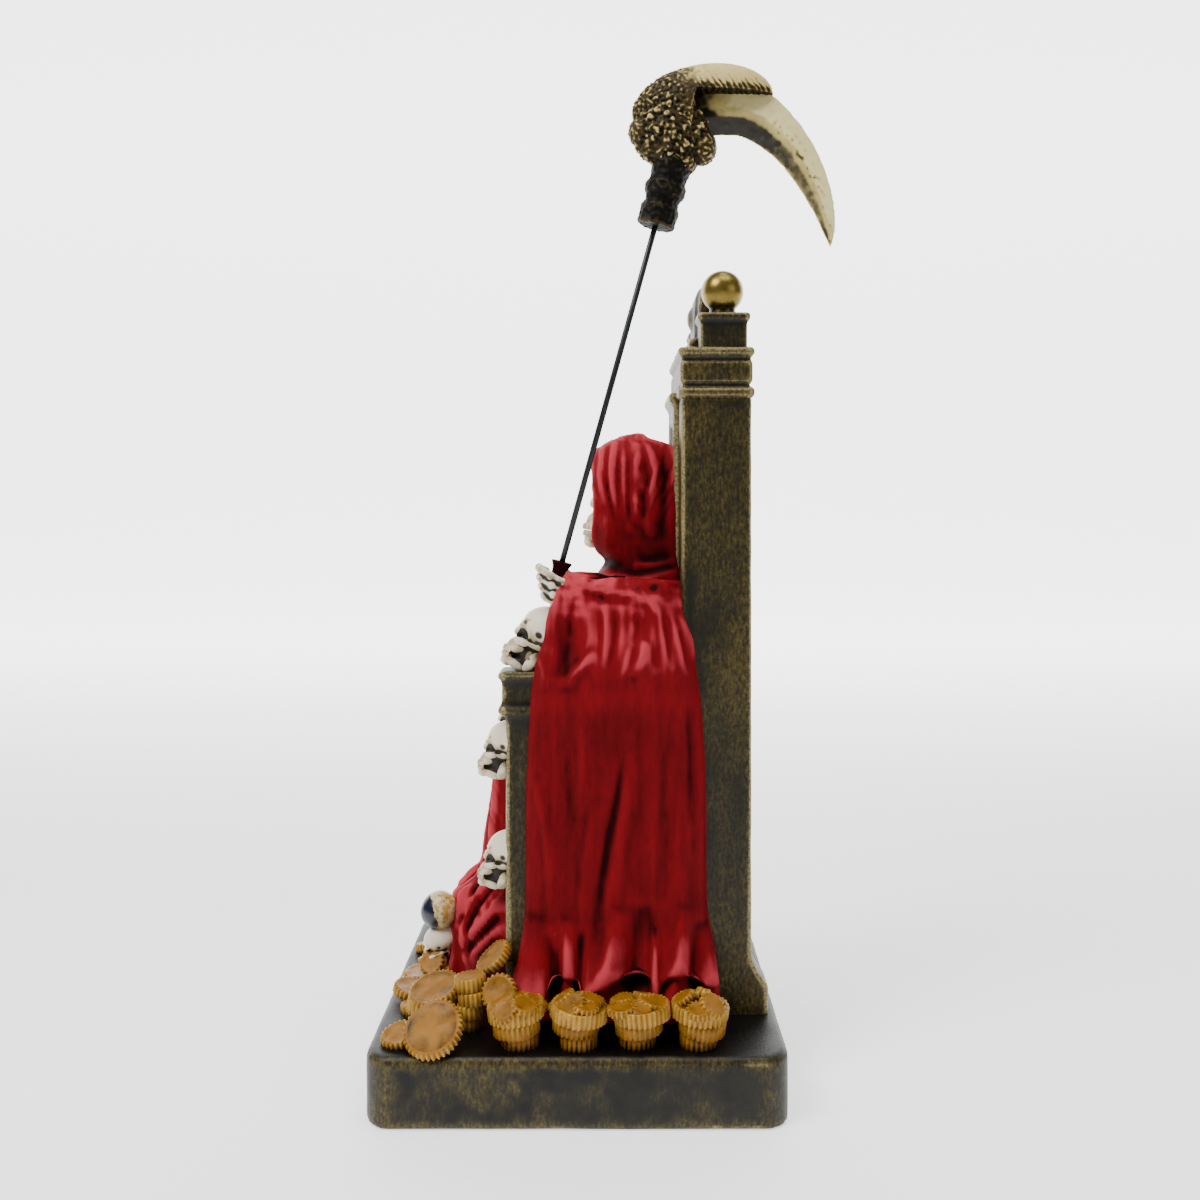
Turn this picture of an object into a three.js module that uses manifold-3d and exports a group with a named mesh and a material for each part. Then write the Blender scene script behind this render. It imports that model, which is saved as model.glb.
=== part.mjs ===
// A seated, hooded skeleton on a throne: a painted resin casting that holds a
// scythe made of a steel wire and a small cast head.
// Millimetres, +Z up. The figure faces -Y and its left hand is at +X. The origin
// is on the underside of the base. Heights of the throne and the figure are
// counted from the top of the base, and everything is lifted by its height last.
import * as THREE from "three";
import { mergeVertices } from "three/addons/utils/BufferGeometryUtils.js";
import Module from "manifold-3d";

const wasm = await Module();
wasm.setup();

// Base: a slab with rounded corners
const BASE = { width: 112, depth: 119.4, height: 20, corner: 8, edge: 1.2, middle: -0.5 };

// Throne: two posts with capitals and ball finials, the wall and crest between
// them, and the seat with its side panels and armrests
const THRONE = {
  halfWidth: 28,
  postWidth: 13,
  postFront: 30.1,
  postDepth: 21.4,
  shaftTop: 185.8,
  capital: 15.3,
  lip: 0.9,
  groove: 0.7,
  plinth: 8,
  cove: 11,
  toe: 5.1,
};
const FINIAL = { blockDepth: 14.2, blockWidth: 11.2, blockHeight: 8.1, plate: 2.4, neck: 4.2, ball: 6.5 };
const WALL = { inFront: 1.7, inset: 2.3, bead: 2, beadSag: 1.1, panelMargin: 3, panelSink: 1.2 };
const ARCH = { height: 27.4, springing: 0.35, front: 6.4, back: 5.5, step: 4.5, stepForward: 3, stepBack: 2 };
const SEAT = { height: 65, front: -12, sideTop: 90, sideThickness: 8, postFront: -22.9, postWidth: 11 };
const ARMREST = { thickness: 13, lip: 2, recess: 1.2, overhang: 2.4, width: 13.5, proud: 1 };

// Figure
const ROBE = { columns: 16, folds: 6, foldDepth: 1.6, lap: 86, knee: 2.2, behind: 22 };
const BODY = { bottom: 70, top: 129, rows: 3, columns: 12, backInWall: 1 };
const CAPE = {
  rows: 10,
  columns: 20,
  inner: 21,
  frontCorner: 0.25,
  backCorner: 0.5,
  folds: 6,
  foldDepth: 1.1,
  lobes: 5.2,
  hemWave: 1.6,
  hemHeight: 7.2,
};
const HOOD = {
  foot: 124,
  top: 176.2,
  backInWall: 3.4,
  backSpread: 3.2,
  crownSlope: 12,
  rim: 4.4,
  hollow: 11,
  rows: 8,
  columns: 16,
};
const FACE = { height: 30, chin: 138, middle: 10.4, tilt: -10 };
const FIST = {
  x: 24,
  y: -8.3,
  z: 127.8,
  pitch: 2.7,
  gather: 0.25,
  reach: 4.6,
  finger: 1.5,
  start: 60,
  turn: 180,
  slope: 2.6,
};
const SIDE_SKULL = { height: 23, width: 0.86, behindFront: 7.1, sink: 1.3, farBack: 6.5, tilt: -28 };
const POST_SKULL = { height: 19, width: 0.78, proud: 2.5, upper: 69.3, lower: 35.8, tilt: -13 };

// Scythe: a wire between the stub in the fist and the socket of the cast head.
// Each lobe of the head's knot has its place from the knot's middle and its radii.
const WIRE = { radius: 0.9, clearance: 0.3, tilt: 15.5, visible: 106, inStub: 8, inSocket: 12 };
const STUB = { above: 8.3, behind: 2.4, wall: 1.1, rim: 0.9, rimLength: 2.6, lean: 1.5, length: 12 };
const SOCKET = { mouth: 5.5, top: 6.2, length: 21 };
const BLADE = { radius: 56.7, middleY: -1.5, middleZ: -2.4, from: 13, to: 94, thickness: 5.6, ridge: 0.34 };
const KNOT = { y: 5, z: 28.6, width: 7.6, length: 11.9, height: 12, curl: 0.07 };
const LOBES = [[-9.2, 0, 5, 3.9, 4.6], [9.2, -4.6, 5.4, 4.6, 5.4], [3, -9, 5.4, 5, 4.4]];
const CREST = { y: 14.6, z: 36.6, length: 21.8, height: 12.6, width: 7.4, tilt: 10, cutFrom: 11, floor: 40 };

// Coins and the globe in front
const COIN = { thickness: 2.9, sides: 8, slip: 0.7, step: 3.9 };
const BUNCHES = {
  count: 4,
  fromFront: 42.6,
  pitch: 17.3,
  inset: 9,
  coins: 3,
  farCoins: 2,
  radius: 8.2,
  taper: 1.4,
};
const GLOBE = { x: 8, fromFront: 14.5, radius: 5.9, skull: 13.5, coins: 2, coinRadius: 5.4, sink: 1.5 };

const TOLERANCE = 1e-4;
const TAU = 2 * Math.PI;
const RAD = Math.PI / 180;

const baseFront = BASE.middle - BASE.depth / 2;
const postBack = THRONE.postFront + THRONE.postDepth;
const postInner = THRONE.halfWidth - THRONE.postWidth;
const wallFront = THRONE.postFront - WALL.inFront;
const wallBack = postBack - WALL.inset;
const armTop = SEAT.sideTop + ARMREST.thickness;
const armFront = SEAT.postFront - ARMREST.overhang;
const armX = THRONE.halfWidth + ARMREST.proud - ARMREST.width / 2;

const at = (x, y, z) => new THREE.Vector3(x, y, z);
const bump = (value, middle, width) => Math.exp(-(((value - middle) / width) ** 2));
const power = (value, exponent) => Math.sign(value) * Math.abs(value) ** exponent;

// A smooth value read from a short list of [place, value] stations
function follow(stations, place) {
  const last = stations.length - 1;
  if (place <= stations[0][0]) return stations[0][1];
  if (place >= stations[last][0]) return stations[last][1];
  const i = stations.findIndex((station) => station[0] > place) - 1;
  const slope = (k) => {
    const before = stations[Math.max(k - 1, 0)];
    const after = stations[Math.min(k + 1, last)];
    return (after[1] - before[1]) / (after[0] - before[0]);
  };
  const [a, low] = stations[i];
  const [b, high] = stations[i + 1];
  const span = b - a;
  const t = (place - a) / span;
  const ends = low * (1 + 2 * t) * (1 - t) ** 2 + high * t * t * (3 - 2 * t);
  return ends + span * t * (1 - t) * (slope(i) * (1 - t) - slope(i + 1) * t);
}

// A closed geometry as a solid with its faces pointing outwards
function solidOf(geometry) {
  const bare = new THREE.BufferGeometry();
  bare.setAttribute("position", geometry.getAttribute("position"));
  bare.setIndex(geometry.index);
  const merged = mergeVertices(bare, TOLERANCE);
  const index = merged.index.array;
  const faces = [];
  for (let i = 0; i < index.length; i += 3) {
    const [a, b, c] = index.slice(i, i + 3);
    if (a !== b && b !== c && c !== a) faces.push([a, b, c]);
  }
  const vertProperties = new Float32Array(merged.getAttribute("position").array);
  const build = (list) =>
    new wasm.Manifold(new wasm.Mesh({ numProp: 3, vertProperties, triVerts: new Uint32Array(list.flat()) }));
  const solid = build(faces);
  return solid.volume() < 0 ? build(faces.map(([a, b, c]) => [a, c, b])) : solid;
}

function geometryOf(solid) {
  const mesh = solid.getMesh();
  const geometry = new THREE.BufferGeometry();
  const positions = new Float32Array(mesh.numVert * 3);
  for (let i = 0; i < mesh.numVert; i++) {
    positions.set(mesh.vertProperties.subarray(i * mesh.numProp, i * mesh.numProp + 3), i * 3);
  }
  geometry.setAttribute("position", new THREE.BufferAttribute(positions, 3));
  geometry.setIndex(new THREE.BufferAttribute(new Uint32Array(mesh.triVerts), 1));
  geometry.computeVertexNormals();
  return geometry;
}

const join = (solids) => solids.reduce((whole, solid) => whole.add(solid));

// The same solid turned (degrees about X, Y and Z), scaled and moved
function placed(solid, { x = 0, y = 0, z = 0, turn = [0, 0, 0], scale = [1, 1, 1] }) {
  const euler = new THREE.Euler(turn[0] * RAD, turn[1] * RAD, turn[2] * RAD, "ZYX");
  const matrix = new THREE.Matrix4().compose(
    at(x, y, z),
    new THREE.Quaternion().setFromEuler(euler),
    at(...scale),
  );
  return solidOf(geometryOf(solid).applyMatrix4(matrix));
}

const mirrored = (solid) => placed(solid, { scale: [-1, 1, 1] });

function ellipsoid(x, y, z, rx, ry, rz, turn = [0, 0, 0], sides = 10, rows = 6) {
  const ball = solidOf(new THREE.SphereGeometry(1, sides, rows));
  return placed(ball, { x, y, z, turn, scale: [rx, ry, rz] });
}

// Rings of the same number of points, joined by walls and closed at both ends
function loft(rings) {
  const sides = rings[0].length;
  const middle = (ring) => ring.reduce((sum, p) => sum.add(p), at(0, 0, 0)).divideScalar(sides);
  const points = [...rings.flat(), middle(rings[0]), middle(rings.at(-1))];
  const start = rings.length * sides;
  const faces = [];
  for (let i = 0; i < sides; i++) {
    const j = (i + 1) % sides;
    faces.push(start, j, i);
    faces.push(start + 1, start - sides + i, start - sides + j);
    for (let k = 0; k < rings.length - 1; k++) {
      const low = k * sides;
      const high = low + sides;
      faces.push(low + i, low + j, high + j, low + i, high + j, high + i);
    }
  }
  const geometry = new THREE.BufferGeometry().setFromPoints(points);
  geometry.setIndex(faces);
  return solidOf(geometry);
}

// Points round a circle or oval, placed by a function of cosine and sine
function roundRing(sides, place, phase = 0) {
  const ring = [];
  for (let i = 0; i < sides; i++) {
    const angle = (i / sides) * TAU + phase;
    ring.push(place(Math.cos(angle), Math.sin(angle), angle));
  }
  return ring;
}

const squareRing = (x0, x1, y0, y1, z) => [at(x0, y0, z), at(x1, y0, z), at(x1, y1, z), at(x0, y1, z)];

function block(x0, x1, y0, y1, z0, z1) {
  return loft([squareRing(x0, x1, y0, y1, z0), squareRing(x0, x1, y0, y1, z1)]);
}

function base() {
  const arc = 4;
  const x = BASE.width / 2 - BASE.corner;
  const y = BASE.depth / 2 - BASE.corner;
  const corners = [[1, 1], [-1, 1], [-1, -1], [1, -1]];
  const ring = (z, inset) =>
    corners.flatMap(([sx, sy], quarter) => {
      const middle = at(sx * x, BASE.middle + sy * y, z);
      const radius = BASE.corner - inset;
      const points = [];
      for (let i = 0; i <= arc; i++) {
        const angle = (quarter + i / arc) * (Math.PI / 2);
        points.push(at(radius * Math.cos(angle), radius * Math.sin(angle), 0).add(middle));
      }
      return points;
    });
  return loft([
    ring(-BASE.height, BASE.edge / 2),
    ring(-BASE.height + BASE.edge / 2, 0),
    ring(-BASE.edge, 0),
    ring(0, BASE.edge),
  ]);
}

// Height and outward step of the capital's mouldings above the shaft
function capitalSteps() {
  const { capital, lip, groove } = THRONE;
  return [
    [0, 0],
    [0.2, lip],
    [capital * 0.22, lip],
    [capital * 0.24, -groove],
    [capital * 0.3, -groove],
    [capital * 0.32, lip / 3],
    [capital * 0.72, lip / 3],
    [capital * 0.74, -groove],
    [capital * 0.81, -groove],
    [capital * 0.83, lip],
    [capital, lip * 0.6],
  ];
}

function post() {
  const { halfWidth, postFront, shaftTop, plinth, cove, toe } = THRONE;
  const ring = (z, grow, heel) =>
    squareRing(postInner - grow, halfWidth + grow, postFront - grow, postBack + grow + heel, z);
  const rings = [ring(-1, 0, toe), ring(plinth, 0, toe)];
  const coveSteps = 4;
  for (let i = 1; i <= coveSteps; i++) {
    const t = i / coveSteps;
    rings.push(ring(plinth + cove * t, 0, toe * (1 - Math.sin(t * Math.PI / 2))));
  }
  capitalSteps().forEach(([height, grow]) => rings.push(ring(shaftTop + height, grow, 0)));
  return loft(rings);
}

// A square block with a cap plate, and a ball on a short neck
function finial() {
  const { blockDepth, blockWidth, blockHeight, plate, neck, ball } = FINIAL;
  const behindMiddle = 0.11;
  const x = THRONE.halfWidth - THRONE.postWidth / 2;
  const y = THRONE.postFront + THRONE.postDepth * (0.5 + behindMiddle);
  const foot = THRONE.shaftTop + THRONE.capital;
  const top = foot + blockHeight + plate;
  const halfWidth = blockWidth / 2;
  const halfDepth = blockDepth / 2;
  const ring = (z, grow) =>
    squareRing(x - halfWidth - grow, x + halfWidth + grow, y - halfDepth - grow, y + halfDepth + grow, z);
  const pedestal = loft([
    ring(foot - 1, 0),
    ring(foot + blockHeight, 0),
    ring(foot + blockHeight + 0.2, THRONE.lip),
    ring(top - 0.4, THRONE.lip),
    ring(top, THRONE.lip / 2),
  ]);
  const neckHeight = 0.6;
  const sphere = ellipsoid(x, y, top + ball + neckHeight, ball, ball, ball, [0, 0, 0], 9, 6);
  const stem = loft(
    [[-0.5, 1.3], [neckHeight + 1, 0.9]].map(([z, share]) =>
      roundRing(8, (cos, sin) => at(x + neck * share * cos, y + neck * share * sin, top + z)),
    ),
  );
  return join([pedestal, sphere, stem]);
}

// The wall with its sunk panel, the bead, the stepped beam and the arched crest,
// whose upper half leans back in a quarter of an oval
function backWall() {
  const { shaftTop, capital, postFront } = THRONE;
  const { bead, beadSag, panelMargin, panelSink } = WALL;
  const wall = block(-postInner - 1, postInner + 1, wallFront, wallBack, -1, shaftTop + 1);
  const side = postInner - panelMargin;
  const panelTop = shaftTop - 2 * panelMargin;
  const sunk = block(-side, side, wallFront - 1, wallFront + panelSink, SEAT.height, panelTop);
  const roll = new THREE.CylinderGeometry(bead, bead, 2 * postInner - 0.6, 8)
    .rotateZ(Math.PI / 2)
    .translate(0, wallFront + 0.2 * bead, shaftTop + beadSag);
  const beam = loft(
    capitalSteps().map(([height, grow]) =>
      squareRing(-postInner - 1, postInner + 1, postFront - grow, postBack + grow, shaftTop + height),
    ),
  );
  const top = shaftTop + capital;
  const half = postInner - 1;
  const front = postFront + ARCH.front;
  const back = postBack - ARCH.back;
  const spring = ARCH.height * ARCH.springing;
  const outline = new THREE.Shape();
  outline.moveTo(-half, -1);
  outline.lineTo(half, -1);
  outline.lineTo(half, spring);
  outline.absellipse(0, spring, half, ARCH.height - spring, 0, Math.PI, false, 0);
  const thickness = { depth: back - front, curveSegments: 6, bevelEnabled: false };
  const board = new THREE.ExtrudeGeometry(outline, thickness).rotateX(Math.PI / 2).translate(0, back, top);
  const profile = new THREE.Shape();
  profile.moveTo(back, -1);
  profile.lineTo(front, -1);
  profile.lineTo(front, ARCH.height / 2);
  profile.absellipse(back, ARCH.height / 2, back - front, ARCH.height / 2, Math.PI, Math.PI / 2, true);
  const across = { depth: 2 * half, curveSegments: 3, bevelEnabled: false };
  const bend = new THREE.ExtrudeGeometry(profile, across)
    .rotateX(Math.PI / 2)
    .rotateZ(Math.PI / 2)
    .translate(-half, 0, top);
  const crest = solidOf(board).intersect(solidOf(bend));
  const step = block(-half, half, front - ARCH.stepForward, back + ARCH.stepBack, top - 1, top + ARCH.step);
  return join([wall.subtract(sunk), solidOf(roll), beam, crest, step]);
}

function seat() {
  const { height, front, sideTop, sideThickness, postFront, postWidth } = SEAT;
  const half = THRONE.halfWidth;
  const end = wallFront + 2;
  const side = join([
    block(half - sideThickness, half, front, end, -1, sideTop + 2),
    block(half - postWidth, half, postFront, front + 1, -1, sideTop + 1),
    armrest(),
  ]);
  return join([block(-half + 3, half - 3, front, end, -1, height), side, mirrored(side)]);
}

function armrest() {
  const { thickness, lip, recess, width, proud } = ARMREST;
  const x1 = THRONE.halfWidth + proud;
  const x0 = x1 - width;
  const slant = 0.9;
  const ring = (height, grow) =>
    squareRing(x0 - grow, x1 + grow, armFront - grow, wallFront + 2, SEAT.sideTop + height);
  return loft([
    ring(0, 0),
    ring(lip, 0),
    ring(lip + slant, -recess),
    ring(thickness - lip - slant, -recess),
    ring(thickness - lip, 0),
    ring(thickness, -recess / 3),
  ]);
}

// Front and half-width of the robe over the legs, by height. The folds fall
// almost straight from the knees, then break and spread over the feet.
const ROBE_LEVELS = [-1, 7, 16, 25, 30, 34, 38, 50, 66, 78, 86];
const ROBE_FRONT = [
  [-1, -45], [3, -45], [12, -43], [28, -40.3], [35, -33], [46, -31.2], [65, -28.9], [78, -27], [86, -21],
];
const ROBE_HALF = [[-1, 25], [12, 25], [28, 22.5], [37, 17.6], [86, 17.2]];

function legs() {
  const { columns, folds, foldDepth, lap, knee, behind } = ROBE;
  const narrowing = 0.86;
  const rings = ROBE_LEVELS.map((z) => {
    const depth = SEAT.front - follow(ROBE_FRONT, z);
    const half = follow(ROBE_HALF, z);
    const fade = 0.35 + 0.65 * bump(z, 10, 45);
    const ring = [];
    for (let i = 0; i <= columns; i++) {
      const angle = (i / columns - 0.5) * Math.PI;
      const fold = Math.cos(angle * folds * 2 + 0.9 * Math.sin(z / 17)) * foldDepth * fade;
      const thighs = bump(angle, 0.45, 0.3) + bump(angle, -0.45, 0.3) - bump(angle, 0, 0.25);
      const out = 1 + (fold + knee * bump(z, lap - 6, 14) * thighs) / half;
      ring.push(at(half * power(Math.sin(angle), 0.8) * out, SEAT.front - depth * Math.cos(angle) * out, z));
    }
    ring.push(at(half, SEAT.front + behind, z), at(-half, SEAT.front + behind, z));
    return ring;
  });
  const brow = rings.at(-1).map((p) =>
    at(p.x * narrowing, Math.max(p.y, SEAT.front + (p.y - SEAT.front) * narrowing), lap + 1.6),
  );
  return loft([...rings, brow]);
}

// Half-width and front of the body, by height
const BODY_HALF = [[70, 17], [92, 14.5], [112, 17.5], [123, 18.5], [129, 16.5]];
const BODY_FRONT = [[70, 3], [92, 5], [112, 3.4], [123, 5], [129, 8]];

function torso() {
  const { bottom, top, rows, columns, backInWall } = BODY;
  const back = wallFront + backInWall;
  const rings = [];
  for (let row = 0; row <= rows; row++) {
    const z = bottom + (top - bottom) * (row / rows);
    const front = follow(BODY_FRONT, z);
    const half = follow(BODY_HALF, z);
    rings.push(
      roundRing(columns, (cos, sin, angle) => {
        const fold = 1 + 0.05 * Math.cos(angle * 7 + z / 9);
        return at(half * sin * fold, (front + back) / 2 - ((back - front) / 2) * cos * fold, z);
      }),
    );
  }
  return loft(rings);
}

// Front edge, reach behind the post's front, outermost reach and inner side of
// the cape, by height
const CAPE_FRONT = [
  [7, -21.5], [12, -20.6], [18, -18.6], [27, -17.2], [45, -16.8], [66, -16.8], [84, -16], [100, -14.8],
  [105, -13.8], [109.5, -13], [113, -11.8], [118.4, -11], [122.2, -9.8], [126, -8.8], [129.8, -7.4],
  [132.4, -5.2],
];
const CAPE_BEHIND = [
  [7, 11.8], [18.7, 10.3], [36, 8.8], [66, 8.5], [95.7, 7], [113.5, 4.4], [126, 2.3], [132, 0.4],
];
const CAPE_OUT = [
  [7, 45], [12, 42], [20, 37.5], [30, 35], [50, 33.5], [80, 33], [98, 34.5], [106, 36], [112, 35.5],
  [119, 33.5], [125, 32.5], [129.5, 31], [132.4, 28],
];
const CAPE_IN = [[7, CAPE.inner], [90, CAPE.inner], [106, 17.5], [124, 15], [132.4, 15]];

// Height of the cape's upper edge from its front (0) to its back (1): over the
// raised left forearm, and over the right arm that lies on the armrest
const RAISED_TOP = [[0, 132], [0.12, 132.8], [0.28, 131], [0.5, 131.6], [1, 130]];
const LOWERED_TOP = [[0, 112], [0.2, 118], [0.42, 126], [1, 127.6]];

// How far the cloth stands out at one place: gathers at the shoulder, the hollow
// inside the bent elbow, long folds below it and the flared hem
function capeRelief(y, z, along) {
  const { folds, foldDepth, lobes } = CAPE;
  const gathers = 1.3 * Math.cos(along * TAU * folds + 0.5) * bump(z, 122, 13);
  const long = foldDepth * Math.cos(along * TAU * folds * 0.75 + z / 30) * bump(z, 55, 40);
  const hem = 2.4 * Math.cos(along * TAU * lobes + 2.4) * bump(z, 10, 12);
  const hollow = -3.4 * bump(y, -1, 5) * bump(z, 108, 12);
  const elbow = 1.6 * bump(y, 14, 12) * bump(z, 112, 9);
  return gathers + long + hem + hollow + elbow;
}

function cape(topLine) {
  const { rows, columns, frontCorner, backCorner, lobes, hemWave, hemHeight } = CAPE;
  const rings = [];
  for (let row = 0; row <= rows; row++) {
    const ring = [];
    for (let i = 0; i <= columns; i++) {
      const along = i / columns;
      const angle = along * Math.PI;
      const z = hemHeight + (follow(topLine, along) - hemHeight) * (row / rows) ** 1.05;
      const front = follow(CAPE_FRONT, z);
      const back = THRONE.postFront + follow(CAPE_BEHIND, z);
      const inner = follow(CAPE_IN, z);
      const y = (front + back) / 2 - ((back - front) / 2) * Math.cos(angle);
      const swell = Math.sin(angle) ** (angle < Math.PI / 2 ? frontCorner : backCorner);
      const x = inner + (follow(CAPE_OUT, z) - inner + capeRelief(y, z, along)) * swell;
      const wave = hemWave * Math.cos(along * TAU * lobes + 2.4) * bump(z, hemHeight, 5);
      ring.push(at(x, y, z - wave * swell));
    }
    rings.push(ring);
  }
  return loft(rings);
}

// Front edge and half-width of the hood, by height
const HOOD_FRONT = [
  [124, 3], [131, 4.6], [135, 7.8], [138.9, 4.2], [142.6, 2.2], [146, 1.7], [164, 1.8], [168, 2.8],
  [171.5, 5], [174.5, 9.5], [176.2, 14],
];
const HOOD_HALF = [
  [124, 19.5], [131, 17.5], [135, 15.6], [142, 15.4], [156, 15.4], [165, 14], [170, 12], [174, 8], [176.2, 4],
];

function hood() {
  const { foot, top, backInWall, backSpread, crownSlope, rim, hollow, rows, columns } = HOOD;
  const rings = [];
  for (let row = 0; row <= rows; row++) {
    const z = foot + (top - foot) * Math.sin((row / rows) * (Math.PI / 2)) ** 0.9;
    const front = follow(HOOD_FRONT, z);
    const half = follow(HOOD_HALF, z);
    const back = wallFront + backInWall - crownSlope * bump(z, top, 3.5);
    rings.push(
      roundRing(columns, (cos, sin, angle) => {
        const fold = 1 + 0.03 * Math.cos(angle * 7 + 0.6) * (1 - bump(z, top, 5));
        const spread = half + backSpread * Math.max(0, -cos);
        const x = spread * power(sin, cos < 0 ? 0.35 : 0.8) * fold;
        return at(x, (front + back) / 2 - ((back - front) / 2) * power(cos, 0.5), z);
      }),
    );
  }
  const eyes = FACE.chin + FACE.height / 2;
  const halfOpening = follow(HOOD_HALF, eyes) - rim;
  const halfHeight = FACE.height * 0.55;
  const brow = follow(HOOD_FRONT, eyes);
  const opening = ellipsoid(0, brow - 1, eyes, halfOpening, hollow, halfHeight, [0, 0, 0], 10, 6);
  return loft(rings).subtract(opening);
}

// Height, half-width, front and back of the jaw and face of a skull one unit tall
const JAW = [
  [0, 0.13, -0.31, -0.12],
  [0.06, 0.19, -0.37, 0.02],
  [0.2, 0.2, -0.38, 0.12],
  [0.33, 0.24, -0.37, 0.16],
  [0.44, 0.31, -0.35, 0.14],
  [0.6, 0.33, -0.33, 0.16],
];

// A skull one unit tall, chin at 0, looking along -Y
function unitSkull(fine) {
  const sides = fine ? 9 : 6;
  const rows = fine ? 6 : 4;
  const levels = JAW.filter((level, k) => k !== 4 && (fine || k !== 2));
  const jaw = loft(
    levels.map(([z, half, front, back]) =>
      roundRing(
        sides,
        (cos, sin) => at(half * power(sin, 0.8), (front + back) / 2 - ((back - front) / 2) * cos, z),
        Math.PI / sides,
      ),
    ),
  );
  const cranium = ellipsoid(0, 0.1, 0.66, 0.36, 0.44, 0.34, [0, 0, 0], sides, rows);
  const facets = fine ? 6 : 4;
  const eye = (side) => ellipsoid(side * 0.15, -0.36, 0.5, 0.095, 0.17, 0.085, [0, 0, side * 12], facets, 2);
  const cheek = (side) => ellipsoid(side * 0.29, -0.2, 0.22, 0.1, 0.16, 0.12, [0, 0, 0], 4, 2);
  const nose = ellipsoid(0, -0.4, 0.36, 0.06, 0.12, 0.09, [0, 0, 0], 4, 2);
  const mouth = solidOf(new THREE.BoxGeometry(0.6, 0.3, 0.035).translate(0, -0.44, 0.183));
  const cuts = [eye(1), eye(-1), nose, mouth];
  if (fine) cuts.push(cheek(1), cheek(-1));
  return cuts.reduce((whole, cut) => whole.subtract(cut), join([cranium, jaw]));
}

const fineSkull = unitSkull(true);
const plainSkull = unitSkull(false);

function skull(shape, height, x, y, chin, { tilt = 0, turn = 0, width = 1 } = {}) {
  return placed(shape, { x, y, z: chin, turn: [tilt, 0, turn], scale: [height * width, height, height] });
}

const wireTilt = WIRE.tilt * RAD;
const wireBore = WIRE.radius + WIRE.clearance;
const wireFoot = at(FIST.x, FIST.y + STUB.behind, FIST.z + STUB.above);

// A point on the wire's own line, counted from the top of the stub
function onWire(distance) {
  return at(0, distance * Math.sin(wireTilt), distance * Math.cos(wireTilt)).add(wireFoot);
}

// A round bar along the wire's line
function alongWire(from, to, radius) {
  const bar = new THREE.CylinderGeometry(radius, radius, to - from, 8).rotateX(Math.PI / 2 - wireTilt);
  const middle = onWire((from + to) / 2);
  return solidOf(bar.translate(middle.x, middle.y, middle.z));
}

// Four bony fingers of the left hand that run from the back of the hand round
// the front of the handle, with the palm, the thumb and the wrist
function fist() {
  const { x, y, z, pitch, gather, reach, finger, start, turn, slope } = FIST;
  const steps = 4;
  const fingers = [0, 1, 2, 3].map((below) => {
    const rings = [];
    for (let k = 0; k <= steps; k++) {
      const bend = (start + (turn * k) / steps) * RAD;
      const outward = at(Math.sin(bend), Math.cos(bend), 0);
      const radius = finger * (1 + 0.14 * Math.cos((k / steps) * TAU * 2));
      const level = z + (1.5 - below) * pitch - slope * outward.y;
      const middle = at(x, y + gather * below ** 1.5, level).addScaledVector(outward, reach);
      rings.push(
        roundRing(4, (cos, sin) => at(0, 0, radius * sin).addScaledVector(outward, radius * cos).add(middle)),
      );
    }
    return loft(rings);
  });
  const palm = ellipsoid(x - 0.5, y + 1.7, z - 0.5, 3.6, 3.2, 5, [0, 0, 0], 6, 4);
  const thumb = ellipsoid(x + 0.6, y + 3.9, z + 5.2, 2.4, 2, 1.7, [0, 0, 0], 5, 3);
  const wrist = ellipsoid(x - 3, y + 8.3, z - 2.6, 3, 6.4, 3, [0, 0, 0], 5, 3);
  return join([...fingers, palm, thumb, wrist]);
}

// The stub of the handle that stands out of the fist, wider at its upper rim
function stub() {
  const { wall, rim, rimLength, lean, length } = STUB;
  const ring = (distance, radius, forward) => {
    const middle = onWire(distance);
    return roundRing(8, (cos, sin) => at(radius * cos, radius * sin - forward, 0).add(middle));
  };
  return loft([
    ring(-length, wireBore + wall, 0),
    ring(-rimLength, wireBore + wall, lean / 3),
    ring(0, wireBore + wall + rim, lean),
  ]);
}

// The right hand: four fingers laid over the skull on the far armrest
function restingHand(x, y, z) {
  const spread = 2.2;
  const reach = 9;
  const drop = 6;
  const steps = 2;
  const fingers = [-1.5, -0.5, 0.5, 1.5].map((place) => {
    const rings = [];
    for (let k = 0; k <= steps; k++) {
      const t = k / steps;
      const radius = 1.3 * (1 + 0.18 * Math.cos(t * TAU * 2));
      const middle = at(x + place * spread * (1 + t / 2), y - reach * t, z + 1.2 - drop * t * t);
      rings.push(roundRing(4, (cos, sin) => at(middle.x + radius * cos, middle.y, middle.z + radius * sin)));
    }
    return loft(rings);
  });
  const palm = ellipsoid(x, y + 3, z + 0.6, 4.6, 5.2, 2.4, [0, 0, 0], 6, 4);
  const wrist = ellipsoid(x - 0.5, y + 10, z + 0.2, 3.2, 8, 3, [0, 0, 0], 6, 4);
  return join([...fingers, palm, wrist]);
}

// Coins slipped on one another, wider towards the top
function bunch(x, y, seed, count, topRadius, taper) {
  const rings = [];
  for (let k = 0; k < count; k++) {
    const radius = topRadius - taper * (count - 1 - k);
    const middleX = x + COIN.slip * Math.sin(seed * 2.1 + k * 2.4);
    const middleY = y + COIN.slip * Math.cos(seed * 1.3 + k * 1.9);
    const lean = k === 0 ? 0 : 0.05 * radius;
    const low = k === 0 ? -1 : k * COIN.step;
    for (const z of [low, (k + 1) * COIN.step - 0.1]) {
      const place = (cos, sin, angle) =>
        at(middleX + radius * cos, middleY + radius * sin, z + lean * Math.cos(angle - 3 * seed));
      rings.push(roundRing(COIN.sides, place, seed));
    }
  }
  return loft(rings);
}

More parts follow.
